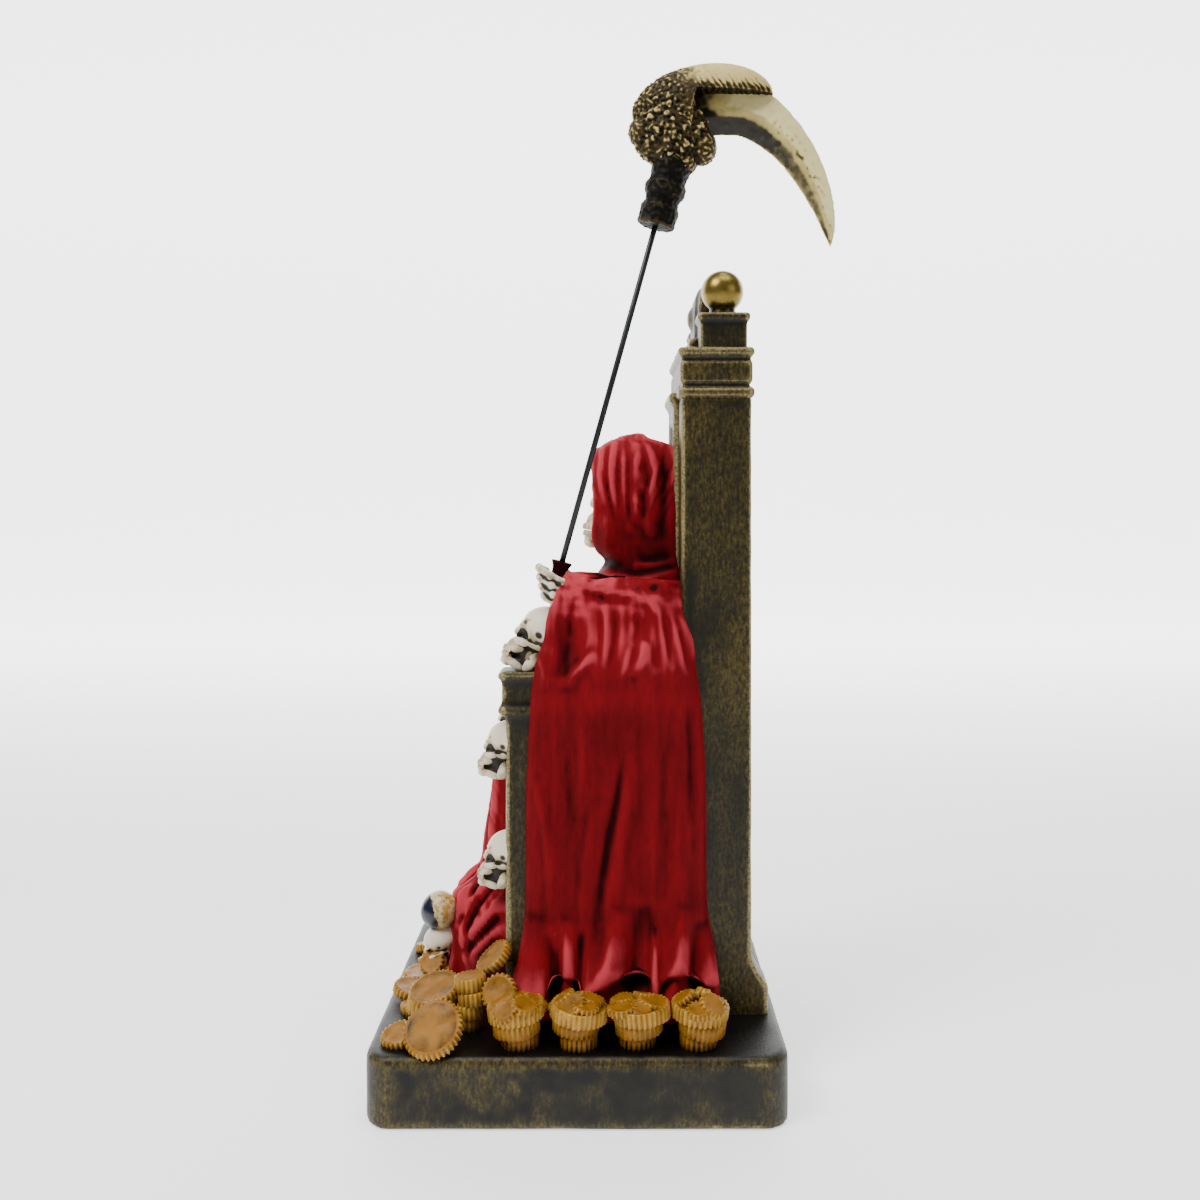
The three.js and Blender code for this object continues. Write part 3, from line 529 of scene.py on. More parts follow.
def head_paint():
    """Antique gold acrylic over black: brown in the pits with pale gold on every knob."""
    p = paints()
    tones = (p.head, srgb("#0B0804"), p.head_gold)
    wash, light = (-0.1, 0.5, 1.0), (-0.25, -1.0, 0.9)
    values = {"Roughness": 0.55, "Specular IOR Level": 0.12, "Metallic": 0.1}
    return brushed_paint("antique_gold_acrylic", tones, wash, light, 0.7, values)


def blade_paint():
    """Bright metallic gold acrylic: pale gold with a painted highlight on the blade's broad outer face,
    painted shade at its root under the crest and on the bevel along its inner side, and worn to the dark
    ground in specks along its ridge."""
    tones = (paints().blade, srgb("#1E1606"), srgb("#FFF2AC"))
    wash, light = (0.05, 0.95, 1.0), (-0.1, -0.8, 0.9)
    values = {"Roughness": 0.35, "Metallic": 0.15}
    return brushed_paint("bright_gold_acrylic", tones, wash, light, 1.3, values)


def ball_paint():
    """Burnished gold acrylic on the finial balls: smooth, with painted shade, brown, underneath."""
    tones = (srgb("#8F7A34"), srgb("#1C160A"), srgb("#E6D590"))
    wash, light = (0.0, 1.0, 1.0), (-0.2, -1.0, 0.5)
    values = {"Roughness": 0.3, "Metallic": 0.75}
    return brushed_paint("burnished_gold_acrylic", tones, wash, light, 1.5, values)


def throne_paint():
    """Black-green acrylic, dry-brushed with old gold: dark in the grooves and where shade is painted on,
    mottled gold on the flats with upright brush marks, and a thin worn line along the edges."""
    p = paints()
    material, tree = new_material("dry_brushed_black_green")
    hollow = add_node(tree, "Attribute", attribute_name="hollow").outputs["Fac"]
    strokes = grain(tree, 0.9, 8.0, (1, 1, 0.45))
    specks = grain(tree, 0.7, 5.0)
    clouds = (grain(tree, 22.0, 5.0, (1, 1, 0.5)), 0.25, 0.75, 1.0)
    inputs = {0: hollow, 1: -0.9, 2: cover(tree, clouds)}
    raised = add_node(tree, "Math", inputs, operation="MULTIPLY_ADD", use_clamp=True).outputs[0]
    brushed = (strokes, 0.3, 0.75, 1.0), (raised, -0.2, 1.2, 0.8)
    tone = lay_coats(
        tree,
        p.throne,
        (srgb("#211D10"), clouds),
        (p.throne_gold, *brushed),
        (srgb("#988848"), *brushed, (specks, 0.5, 0.72, 0.6)),
        (srgb("#A89A68"), (hollow, -0.45, -0.85, 1.0), (specks, 0.3, 0.6, 0.7)),
        (srgb("#070705"), (hollow, 0.15, 0.7, 1.0)),
    )
    values = {"Roughness": 0.45, "Specular IOR Level": 0.3, "Metallic": 0.15}
    finish_material(tree, tone, (specks, 0.15), **values)
    return material


def globe_paint():
    """Navy gloss acrylic with cream and gold patches, as a small painted globe has. Its hollow
    attribute is below 0 on the side where the patches are largest."""
    p = paints()
    material, tree = new_material("navy_gloss_acrylic")
    hollow = add_node(tree, "Attribute", attribute_name="hollow").outputs["Fac"]
    shape = grain(tree, 5.0)
    land = add_node(tree, "Math", {0: hollow, 1: -0.3, 2: shape}, operation="MULTIPLY_ADD").outputs[0]
    gold = (srgb("#B08A34"), (grain(tree, 2.2, 3.0), 0.42, 0.6, 1.0))
    tone = lay_coats(tree, p.cream, gold, (p.navy, (land, 0.6, 0.57, 1.0)))
    finish_material(tree, tone, (shape, 0.2), Roughness=0.3, IOR=1.5)
    return material


def wire_metal():
    """Drawn steel wire, dulled grey: fine lines run along it."""
    material, tree = new_material("drawn_steel_wire")
    lines = grain(tree, 0.5, 3.0, (1, 1, 0.05))
    tone = lay_coats(tree, paints().wire, (srgb("#2E3032"), (lines, 0.3, 0.7, 1.0)))
    finish_material(tree, tone, (lines, 0.02), Roughness=0.4, Metallic=0.8)
    return material


def paint(make):
    """The material that a function makes, made once."""
    name = "kept_" + make.__name__
    scene = bpy.context.scene
    if name not in scene:
        scene[name] = make().name
    return bpy.data.materials[scene[name]]


# Cloth

# Stations are (height, place). Folds are (how far they stand out, width, points across the cloth and
# up), and hollows stand out by less than 0.
ROBE_FRONT = [
    (-1, -45), (3, -45), (12, -43), (28, -40.3), (35, -33), (46, -31.2), (65, -28.9), (78, -27), (86, -21),
]
ROBE_HALF = [(-1, 25), (12, 25), (28, 22.5), (37, 17.6), (86, 17.2)]
ROBE_SIDE_FOLDS = [
    (1.6, 1.8, [(-32.6, 43), (-36.0, 34.0), (-38.6, 25.0)]),
    (-1.4, 1.4, [(-28.8, 36.0), (-33.6, 28.4), (-38.6, 20.8)]),
    (1.9, 1.7, [(-23.0, 34.2), (-29.6, 25.4), (-38.0, 16.0)]),
    (-1.2, 1.1, [(-23.6, 29.0), (-30.2, 21.6), (-37.4, 13.0)]),
    (1.6, 1.4, [(-23.8, 25.1), (-30.6, 18.6), (-35.9, 11.0)]),
    (-1.2, 1.3, [(-23.4, 20.8), (-29.3, 14.6), (-33, 9)]),
]
ROBE_FRONT_FOLDS = [
    (2.0, 2.2, [(-9, 84), (-8, 60), (-10, 38), (-16, 18), (-19, 0)]),
    (2.0, 2.2, [(9, 84), (8.5, 60), (10, 38), (15, 18), (19, 0)]),
    (-2.2, 2.0, [(0, 86), (0.6, 62), (-0.8, 40), (0.4, 22), (-1, 0)]),
    (1.2, 1.5, [(-3.5, 70), (-4, 44), (-6, 26), (-8, 2)]),
    (1.2, 1.5, [(4, 66), (4.4, 40), (7, 24), (9, 2)]),
    (-1.4, 1.4, [(-12.5, 72), (-12, 46), (-15, 28), (-21, 6)]),
    (-1.4, 1.4, [(12.5, 70), (12, 46), (15, 28), (21, 6)]),
    (1.4, 1.8, [(-4, 34), (2, 28), (8, 30)]),
    (1.2, 1.6, [(-14, 30), (-6, 24), (1, 25)]),
]
BODY_HALF = [(70, 17), (92, 14.5), (112, 17.5), (123, 18.5), (129, 16.5)]
BODY_FRONT = [(70, 3), (92, 5), (112, 3.4), (123, 5), (129, 8)]
BODY_FOLDS = [
    (1.5, 1.8, [(-13, 130), (-9, 112), (-3, 98), (-1, 86)]),
    (1.5, 1.8, [(13, 130), (9, 112), (3.5, 98), (1, 86)]),
    (-1.3, 1.6, [(0, 128), (0, 104), (0, 84)]),
    (1.0, 1.5, [(-15, 116), (-10, 98), (-6, 86)]),
    (1.0, 1.5, [(15, 116), (10, 98), (6, 86)]),
    (0.9, 1.4, [(-6, 126), (-4, 110), (-1.5, 96)]),
    (0.9, 1.4, [(6, 126), (4, 110), (1.5, 96)]),
]
CAPE_FRONT = [
    (7, -21.5), (12, -20.6), (18, -18.6), (27, -17.2), (45, -16.8), (66, -16.8), (84, -16), (100, -14.8),
    (105, -13.8), (109.5, -13), (113, -11.8), (118.4, -11), (122.2, -9.8), (126, -8.8), (129.8, -7.4),
    (132.4, -5.2),
]
CAPE_BACK = [
    (7, 41.9), (18.7, 40.4), (36, 38.9), (66, 38.6), (95.7, 37.1), (113.5, 34.5), (126, 32.4), (132, 30.5),
]
CAPE_OUT = [
    (7, 45), (12, 42), (20, 37.5), (30, 35), (50, 33.5), (80, 33), (98, 34.5), (106, 36), (112, 35.5),
    (119, 33.5), (125, 32.5), (129.5, 31), (132.4, 28),
]
CAPE_IN = [(7, 21), (90, 21), (106, 17.5), (124, 15), (132.4, 15)]
RAISED_TOP = [(0, 132), (0.12, 132.8), (0.28, 131), (0.5, 131.6), (1, 130)]
LOWERED_TOP = [(0, 112), (0.2, 118), (0.42, 126), (1, 127.6)]
HEM = [
    (-22, 9), (-18.7, 9.6), (-14, 9.2), (-10, 10.5), (-8.3, 15.2), (-4.8, 16), (-1.1, 15), (0.3, 12.2),
    (3, 12.8), (8, 15), (13.8, 16.6), (18.4, 16.5), (20.6, 14.5), (21.7, 11), (23, 14.4), (28.5, 16.6),
    (33, 14.5), (36.5, 12.3), (41.1, 11),
]
# Over the shoulder and the bent arm, down to the points where the gathers end
SHOULDER_FOLDS = [
    (1.2, 1.9, [(-5.0, 134), (-6.6, 127.0), (-8.2, 120.6), (-10.0, 113)]),
    (-1.0, 1.2, [(-0.6, 129.5), (-2.4, 124.0), (-3.6, 119.0), (-4.2, 114)]),
    (1.3, 1.2, [(-9, 132.4), (-2.5, 131.0), (3.5, 128.9), (9.3, 128.2), (18.6, 126.4), (27, 126)]),
    (1.0, 1.1, [(-3.6, 133), (-2.0, 129.4)]),
    (1.0, 1.1, [(0.6, 131), (2.2, 127.4)]),
    (1.1, 1.2, [(4.4, 130.4), (5.9, 126.6)]),
    (0.8, 1.1, [(8.2, 130), (9.6, 126.6)]),
    (-0.45, 1.3, [(-1, 127.0), (6, 125.2), (13, 124.4), (20, 123.6)]),
    (0.9, 1.0, [(5.6, 125.5), (7.4, 119.7), (7.2, 112.0), (6.2, 103.4)]),
    (-0.9, 1.1, [(9.6, 124.5), (10.4, 117.5), (9.6, 110), (8.6, 103)]),
    (0.9, 1.3, [(12.8, 123.4), (18.2, 125.4), (22.8, 121.6), (24.0, 115.0), (26.4, 104.4)]),
    (-0.8, 1.8, [(15.4, 121.4), (17.6, 117.0), (15.6, 112.2)]),
    (1.5, 1.7, [(19.5, 113.5), (18.2, 109.0), (14.6, 102.6)]),
    (0.7, 1.0, [(14.4, 112), (13.2, 106.6), (11.8, 101.6)]),
    (0.9, 1.1, [(25.8, 124.7), (27.4, 117.5), (29.6, 108.6), (31.0, 101.6)]),
    (-0.8, 1.0, [(23.8, 123.8), (25.4, 114.5), (27.2, 105.1)]),
    (0.9, 1.1, [(28.8, 121.4), (32.1, 113.8), (34.0, 105.2)]),
    (-0.7, 1.0, [(29.0, 116.4), (30.6, 110.8), (32.2, 103.2)]),
    (1.2, 1.4, [(5.0, 110.2), (0.6, 106.6), (-5.6, 99.1)]),
    (0.9, 1.6, [(0.6, 125.2), (2.4, 118.6), (2.2, 112.8), (-0.4, 107.2)]),
    (-0.7, 1.3, [(20.9, 113.5), (22.4, 104.4)]),
    (-2.6, 4.2, [(-3.4, 121.1), (-4.1, 112.0), (-5.3, 101.1)]),
    (0.7, 1.2, [(-12.6, 108), (-11.2, 103.6), (-11.4, 98)]),
]
# Long soft folds of the cloth that hangs over the armrest
HANGING_FOLDS = [
    (0.6, 1.5, [(-15.6, 76), (-10.9, 58.0), (-9.6, 45.5), (-8.7, 22)]),
    (-1.1, 1.9, [(14.4, 84), (9.3, 58.5), (6.2, 41.4), (3.9, 18)]),
    (0.7, 2.0, [(15.4, 92), (13.9, 69.2), (10.6, 51.4), (8.0, 31)]),
    (0.6, 1.8, [(5.4, 66), (2.4, 51.1), (-0.2, 24)]),
    (-0.7, 1.5, [(31.8, 102), (32.8, 78.0), (32.5, 56)]),
    (0.6, 1.8, [(35.1, 102), (35.9, 66.2), (36.4, 34)]),
    (0.6, 3.0, [(30.0, 72), (29.0, 45.5), (28.4, 26)]),
    (0.6, 3.2, [(21.4, 94), (20.5, 57.3), (19.4, 32)]),
    (-0.5, 2.4, [(25.2, 88), (24.6, 57.3), (23.4, 34)]),
    (-0.6, 2.4, [(-4.3, 88), (-3.4, 57.3), (-4.4, 30)]),
    (0.5, 2.2, [(-1.0, 96), (0.6, 76), (-0.4, 60)]),
]
# Bulging ends of the folds at the hem, and the hollows between them
HEM_FOLDS = [
    (2.2, 3.9, [(-14.2, 31), (-15.2, 16), (-15.5, 0)]),
    (1.8, 1.7, [(-4.2, 31), (-4.0, 18), (-3.6, 4)]),
    (2.7, 2.7, [(11.6, 34), (8.4, 20), (3.6, 9), (1.0, -2)]),
    (1.6, 0.9, [(21.9, 28), (21.6, 16), (21.8, 0)]),
    (2.4, 2.4, [(30.6, 34), (29.0, 20), (26.4, 7), (25, -2)]),
    (1.8, 2.4, [(36.6, 28), (38.8, 13), (40.5, 0)]),
    (-2.6, 2.2, [(-8.8, 27), (-8.2, 14), (-8, 0)]),
    (-2.6, 3.2, [(17.8, 36), (16.4, 20), (14, 4)]),
    (-2.2, 2.2, [(34.5, 30), (34.0, 16), (33.5, 2)]),
    (-1.8, 1.5, [(0.0, 28), (-0.6, 14), (-1, 2)]),
]
HOOD_FRONT = [
    (124, 3), (131, 4.6), (135, 7.8), (138.9, 4.2), (142.6, 2.2), (146, 1.7), (164, 1.8), (168, 2.8),
    (171.5, 5), (174.5, 9.5), (176.2, 14),
]
HOOD_HALF = [
    (124, 19.5), (131, 17.5), (135, 15.6), (142, 15.4), (156, 15.4), (165, 14), (170, 12), (174, 8),
    (176.2, 4),
]
HOOD_FOLDS = [
    (0.8, 1.0, [(7.4, 175), (5.9, 169), (5.6, 161), (6.4, 152)]),
    (1.0, 1.1, [(10.8, 175.4), (9.2, 168.3), (8.7, 160.1), (11.4, 149)]),
    (0.8, 1.0, [(12.9, 173.4), (12.8, 164), (12.6, 156), (13.2, 148)]),
    (1.0, 1.1, [(15.4, 175), (17.2, 166.4), (17.7, 159), (15.4, 149), (14.2, 144)]),
    (0.9, 1.0, [(17.6, 175.2), (21.4, 169.6), (22.6, 161.6), (19.4, 152)]),
    (1.2, 1.2, [(29.4, 173.4), (28.9, 166.4), (27.2, 158)]),
    (1.0, 2.0, [(6.0, 151.4), (7.4, 146.5), (8.6, 140.4)]),
    (0.7, 1.6, [(19.6, 149.9), (22.1, 143)]),
    (-0.9, 0.9, [(8.6, 174), (7.6, 166), (8.2, 156), (10.4, 147)]),
    (-0.8, 0.8, [(11.9, 174.4), (11.2, 165.8), (11.4, 155), (12.2, 147)]),
    (-1.0, 0.9, [(14.2, 174.4), (14.9, 164), (14.8, 155), (13.8, 146)]),
    (-1.0, 1.1, [(17.2, 172), (19.8, 163), (18.9, 154), (16.2, 145)]),
    (-1.3, 2.2, [(22.4, 173), (25.4, 166), (25.4, 156), (24.2, 142)]),
    (1.0, 1.2, [(4.0, 131.4), (14.0, 129.9), (24.0, 131.4), (31, 133)]),
    (-0.9, 1.2, [(6.0, 134.0), (16.0, 132.4), (26.0, 133.4)]),
    (0.9, 1.2, [(15.0, 134.2), (22.0, 134.4), (30.0, 136.4)]),
]
FACE_OPENING = {"middle": (0, 0.7, 153), "radii": (11, 11, 16.5)}


def capped(share, low, high):
    """How far up a skin's body this share is, and how wide open the skin is there: 1 over the body,
    down to 0 at its closed ends."""
    t = max(0.0, min(1.0, (share - low) / (high - low)))
    drawn = min(1.0, share / low, (1 - share) / (1 - high))
    return t, drawn


def robe_point(turn, share):
    """The skirt of the robe: round the legs in front, tucked flat into the seat behind."""
    foot, tall, tuck = -1, 87, 22
    t, drawn = capped(share, 0.02, 0.93)
    z = foot + tall * t + 1.6 * (1 - drawn) * (share > 0.5)
    front, half = follow(ROBE_FRONT, z), follow(ROBE_HALF, z)
    middle = (front + SEAT["front"] + tuck) / 2
    if abs(turn) <= math.pi / 2:
        pleats = 0.5 * math.cos(turn * 14 + z / 15)
        thighs = bump(turn, 0.45, 0.3) + bump(turn, -0.45, 0.3) - bump(turn, 0, 0.25)
        out = 1 + (pleats + 2.2 * bump(z, 80, 14) * thighs) / half
        x = half * power(math.sin(turn), 0.8) * out
        y = SEAT["front"] - (SEAT["front"] - front) * math.cos(turn) * out
    else:
        behind = (abs(turn) - math.pi / 2) / (math.pi / 2)
        x = math.copysign(half * (1 - blend(behind, 0.45, 1)), turn)
        y = SEAT["front"] + tuck * blend(behind, 0, 0.5)
    return Vector((x * drawn, middle + (y - middle) * drawn, z))


def body_point(turn, share):
    """The robe over the body, wrapped round it and drawn in under a belt."""
    foot, tall = 70, 59
    t, drawn = capped(share, 0.03, 0.95)
    z = foot + tall * t + 2 * (1 - drawn) * (share > 0.5)
    front, half, back = follow(BODY_FRONT, z), follow(BODY_HALF, z), WALL["front"] + 1
    wrap = 1 + 0.02 * math.cos(turn * 9 + z / 7)
    x = half * math.sin(turn) * wrap * drawn
    middle = (front + back) / 2
    y = middle - (middle - front) * math.cos(turn) * wrap * drawn
    belt = 1.6 * bump(z, 88, 2.2) * max(0.0, math.cos(turn)) ** 0.5
    return Vector((x, y - belt * drawn, z))


def cape_surface(along, z, sunk):
    """A point of the cape's outer face from its front (0) to its back (1)."""
    front, back = follow(CAPE_FRONT, z), follow(CAPE_BACK, z)
    middle = (front + back) / 2
    y = middle - (middle - front) * math.cos(along * math.pi)
    corner = 0.25 if along < 0.5 else 0.5
    swell = max(0.0, math.sin(along * math.pi)) ** corner
    inner = follow(CAPE_IN, z)
    return inner + max(1.0, follow(CAPE_OUT, z) - sunk - inner) * swell, y


def cape_point(top_line):
    """Places the cape: a sunk wall under the hem, the hem's edge, then the hanging cloth."""
    inner_share, foot, under, edge, top = 0.16, 0.02, 0.07, 0.1, 0.985
    hem_depth, hem_lip, hem_front, hem_run = 3.5, 0.8, follow(CAPE_FRONT, 14), 60
    floor, middle_y = 3, 10

    def place(turn, share):
        way = (turn + math.pi) / math.tau
        outer = way > inner_share
        along = (way - inner_share) / (1 - inner_share) if outer else 1 - way / inner_share
        hem = follow(HEM, hem_front + hem_run * (1 - math.cos(along * math.pi)) / 2)
        sunk = 0.0
        if share < under:
            z = floor + (hem + hem_lip - floor) * blend(share, foot, under)
            sunk = hem_depth
        elif share < edge:
            t = (share - under) / (edge - under)
            z = hem + hem_lip - 2 * hem_lip * t
            sunk = hem_depth * (1 - t)
        else:
            t = min(1.0, (share - edge) / (top - edge))
            z = hem - hem_lip + (follow(top_line, along) - hem + hem_lip) * t
            sunk = 0.6 * bump(t, 0, 0.008)
        x, y = cape_surface(along, z, sunk)
        inner = follow(CAPE_IN, z)
        middle_x = (x + inner) / 2
        if not outer:
            x, middle_x = inner, inner + 5
        drawn = min(1.0, share / foot, (1 - share) / (1 - top))
        return Vector((middle_x + (x - middle_x) * drawn, middle_y + (y - middle_y) * drawn, z))

    return place


def cape_painted_shading(point):
    """Painted light and shade on the cape: painted shade under the hem, in the bend of the arm, at the
    neck under the hood, more towards the back, and down the hanging cloth. Painted highlights go over the
    shoulder, on the hem's flare and along two ledges, and random dabs go along the top."""
    hem = follow(HEM, point.y)
    # Painted shade under the hem
    under = 0.8 * (1 - blend(point.z, hem - 1.2, hem + 0.6))
    ragged = 3 * noise.noise(Vector((point.y / 3.2, 0, point.z / 30)))
    # Painted shade at the neck under the hood, deeper towards the back
    collar = (0.5 + 1.1 * blend(point.y, 4, 20)) * blend(point.z, 124, 129)
    dabs = 0.9 * noise.noise(Vector((point.y / 2.6, 3, point.z / 2.0))) * blend(point.z, 121, 127)
    # Painted highlight on the upper cape, which faces up into the light
    shoulder = -0.36 * blend(point.z + 2 * ragged, 98, 112)
    # Painted highlight on the hem's flare
    hem_highlight = -0.3 * bump(point.z, hem + 4, 5)
    # Painted shade in the hollow under the bent arm
    elbow = 0.8 * bump(point.y, -4.5, 4.5) * bump(point.z, 109, 9)
    # Painted shade down the hanging cloth, which faces away from the light above
    hanging = 0.34 * (1 - blend(point.z + 2 * ragged, 97, 109)) * blend(point.z, hem + 6, hem + 18)
    # Painted highlights along the ledge below the arm and along the top of the shoulder
    shelf = -0.3 * bump(point.z, 97, 4.5) - 0.4 * bump(point.z, 126.5, 3)
    return under + shoulder + collar + dabs + hem_highlight + elbow + hanging + shelf + 0.05


def hood_point(turn, share):
    """The hood: folds fall from the crown, a roll of cloth lies round the face."""
    foot, tall = 124, 52.2
    t, drawn = capped(share, 0.02, 0.95)
    z = foot + tall * math.sin(t * math.pi / 2) ** 0.9 + 0.4 * (1 - drawn) * (share > 0.5)
    front, half = follow(HOOD_FRONT, z), follow(HOOD_HALF, z)
    back = WALL["front"] + 3.4 - 12 * bump(z, foot + tall, 3.5)
    ahead = math.cos(turn)
    spread = 3.2 * max(0.0, -ahead)
    x = (half + spread) * power(math.sin(turn), 0.35 if ahead < 0 else 0.8)
    middle = (front + back) / 2
    y = middle - (middle - front) * power(ahead, 0.5)
    (wide, _, high), face = FACE_OPENING["radii"], FACE_OPENING["middle"]
    if ahead > 0:
        y -= 0.9 * bump(math.hypot(x / wide, (z - face[2]) / high), 1.12, 0.12)
    return Vector((x * drawn, middle + (y - middle) * drawn, z))


def hood_painted_shading(point):
    """Painted light and shade: a painted highlight at the crown, and painted shade down the back and where
    the hood turns in to the neck.
    """
    crown = -0.3 * blend(point.z, 156, 172)
    neck = 0.48 * (1 - blend(point.z, 141, 158)) * blend(point.z, 129, 134)
    return crown + neck + 0.35 * blend(point.y, 20, 27)


def hood_streak(point):
    """Where noise is read for the hood's fine gathers, which fan out towards the crown."""
    narrow = 1.7 * (0.4 + 0.6 * blend(point.z, 146, 174))
    return Vector(((point.y - 13) / narrow, point.x / 9, point.z / 22))


def garment(bm, name, painted_shade_and_tone=None, reach=2.5, depth=0.4):
    piece(bm, name, red_paint, reach=reach, depth=depth, painted_shade_and_tone=painted_shade_and_tone)


class FIGURE_OT_robe(bpy.types.Operator):
    """Robe over the knees and the body, with its falling folds"""

    bl_idname = "figure.robe"
    bl_label = "Robe"

    def execute(self, context):
        bm = bmesh.new()
        skin(bm, 200, 130, robe_point)
        drape(bm, ROBE_SIDE_FOLDS, 1, (1, 0, 0), both=True)
        drape(bm, ROBE_FRONT_FOLDS, 0, (0, -1, 0))
        crinkle(bm, lambda p: 0.3, lambda p: Vector((p.x / 3, (p.y + p.z * 0.7) / 2.4, p.z / 14)))
        garment(bm, "robe_skirt")
        bm = bmesh.new()
        skin(bm, 150, 90, body_point)
        drape(bm, BODY_FOLDS, 0, (0, -1, 0))
        crinkle(bm, lambda p: 0.3, lambda p: Vector((p.x / 2.4, p.y / 3, p.z / 14)))
        garment(bm, "robe_body")
        return {"FINISHED"}


class FIGURE_OT_capes(bpy.types.Operator):
    """Both halves of the cape that hang over the armrests"""

    bl_idname = "figure.capes"
    bl_label = "Cape"

    def execute(self, context):
        tall = sizes().gather / MM
        for name, top_line, side in (("cape_left", RAISED_TOP, 1), ("cape_right", LOWERED_TOP, -1)):
            bm = bmesh.new()
            skin(bm, 216, 172, cape_point(top_line))
            for folds in (HANGING_FOLDS, SHOULDER_FOLDS, HEM_FOLDS):
                drape(bm, folds, 1, (1, 0, 0))
            crinkle(
                bm,
                lambda p: tall * (0.3 + 0.7 * blend(p.z, 96, 110) + blend(p.z, 122, 128)),
                lambda p: Vector((p.x / 8, p.y / 2.3, p.z / 17 + side)),
            )
            smooth(bm, 1)
            bmesh.ops.scale(bm, vec=(side, 1, 1), verts=bm.verts)
            garment(bm, name, cape_painted_shading)
        return {"FINISHED"}


class FIGURE_OT_hood(bpy.types.Operator):
    """Hood with its hollow for the face"""

    bl_idname = "figure.hood"
    bl_label = "Hood"

    def execute(self, context):
        bm = bmesh.new()
        skin(bm, 240, 170, hood_point)
        drape(bm, HOOD_FOLDS, 1, (1, 0, 0), both=True)
        tall = sizes().gather / MM
        crinkle(bm, lambda p: tall * (0.2 + 1.1 * blend(p.z, 146, 160)), hood_streak)
        press(bm, FACE_OPENING["middle"], FACE_OPENING["radii"], (0, 1, 0))
        bm = fuse(bm, 0.6)
        garment(bm, "hood", hood_painted_shading, reach=2.0, depth=0.35)
        return {"FINISHED"}


# Throne and base


def column(bm, x, y, levels):
    """A square column raised through levels of (height, outward step, extra step at the back)."""

    def settle(verts, level):
        z, grow, heel = level
        for vert in verts:
            vert.co.x = x[1] + grow if vert.co.x > sum(x) / 2 else x[0] - grow
            vert.co.y = y[1] + grow + heel if vert.co.y > sum(y) / 2 else y[0] - grow
            vert.co.z = z

    middle = Matrix.Translation((sum(x) / 2, sum(y) / 2, 0))
    cube = bmesh.ops.create_cube(bm, size=1, matrix=middle)["verts"]
    low = [v for v in cube if v.co.z < 0]
    high = [v for v in cube if v.co.z > 0]
    settle(low, levels[0])
    settle(high, levels[1])
    for level in levels[2:]:
        lid = next(face for face in high[0].link_faces if all(v in high for v in face.verts))
        grown = bmesh.ops.extrude_face_region(bm, geom=[lid])["geom"]
        high = [g for g in grown if isinstance(g, bmesh.types.BMVert)]
        settle(high, level)


def capital(bm, left, right):
    """Two rolls and a broad band round a core, with grooves between them."""
    foot, tall = POST["top"], POST["capital"]
    core, band = (-0.05, 0.95, -0.7, 0), (0.29, 0.74, 0.3, 0.9)
    lower_roll, upper_roll = (0.0, 0.21, 0.9, 1.1), (0.82, 1.0, 0.9, 1.0)
    for low, high, grow, edge in (core, lower_roll, band, upper_roll):
        x, y = (left - grow, right + grow), (POST["front"] - grow, POST["back"] + grow)
        block(bm, x, y, (foot + low * tall, foot + high * tall), edge)


def both_sides(bm):
    """Adds the same geometry mirrored to the figure's right."""
    geometry = bm.verts[:] + bm.edges[:] + bm.faces[:]
    bmesh.ops.mirror(bm, geom=geometry, matrix=Matrix.Identity(4), merge_dist=-1, axis="X")


def throne_piece(bm, name, voxel, painted_shade_and_tone=None):
    """A piece of the throne, its blocks run together and its faces a little wavy, as cast."""
    bm = fuse(bm, voxel, 2)
    roughen(bm, sizes().waviness / MM, 9.0)
    piece(bm, name, throne_paint, reach=1.1, depth=0.16, painted_shade_and_tone=painted_shade_and_tone)


def base_shadow_and_dabs(point):
    """Painted shadow, nearly black, on top between the coins, with gold dabs on its sides, most near the
    back.
    """
    dabs = 0.5 * noise.noise(point / 9) + 0.3 * noise.noise(point / 3)
    edge = 0.4 * bump(point.z, -1, 1.6) + 0.4 * bump(point.z, -BASE_HEIGHT, 2)
    return 0.52 - 0.25 * blend(point.y, -20, 30) + dabs + edge + 0.5 * blend(point.z, -0.8, -0.4)


def post_shade_and_gold(point):
    """More gold towards the foot of a post, with painted shadow along its front edge beside the cape and
    painted shade right under its capital.
    """
    shaded = 0.45 * (1 - blend(point.y, 31, 36)) * (1 - blend(point.z, 120, 150))
    return shaded - 0.4 * (1 - blend(point.z, 15, 75)) + 0.3 * bump(point.z, 185, 2.5) + 0.08


class FIGURE_OT_base(bpy.types.Operator):
    """Slab with round corners under the throne"""

    bl_idname = "figure.base"
    bl_label = "Base"

    def execute(self, context):
        bm = bmesh.new()
        size = Matrix.Diagonal((BASE["width"], BASE["depth"], BASE_HEIGHT, 1))
        middle = Matrix.Translation((0, BASE["middle"], -BASE_HEIGHT / 2))
        bmesh.ops.create_cube(bm, size=1, matrix=middle @ size)
        upright = [e for e in bm.edges if abs(e.verts[0].co.z - e.verts[1].co.z) > 1]
        rounded(bm, upright, sizes().corner / MM, 10)
        rim = [e for e in bm.edges if all(abs(v.co.z) < 1e-4 for v in e.verts)]
        rounded(bm, rim, BASE["rim"], 2)
        throne_piece(bm, "base", 1.15, base_shadow_and_dabs)
        return {"FINISHED"}


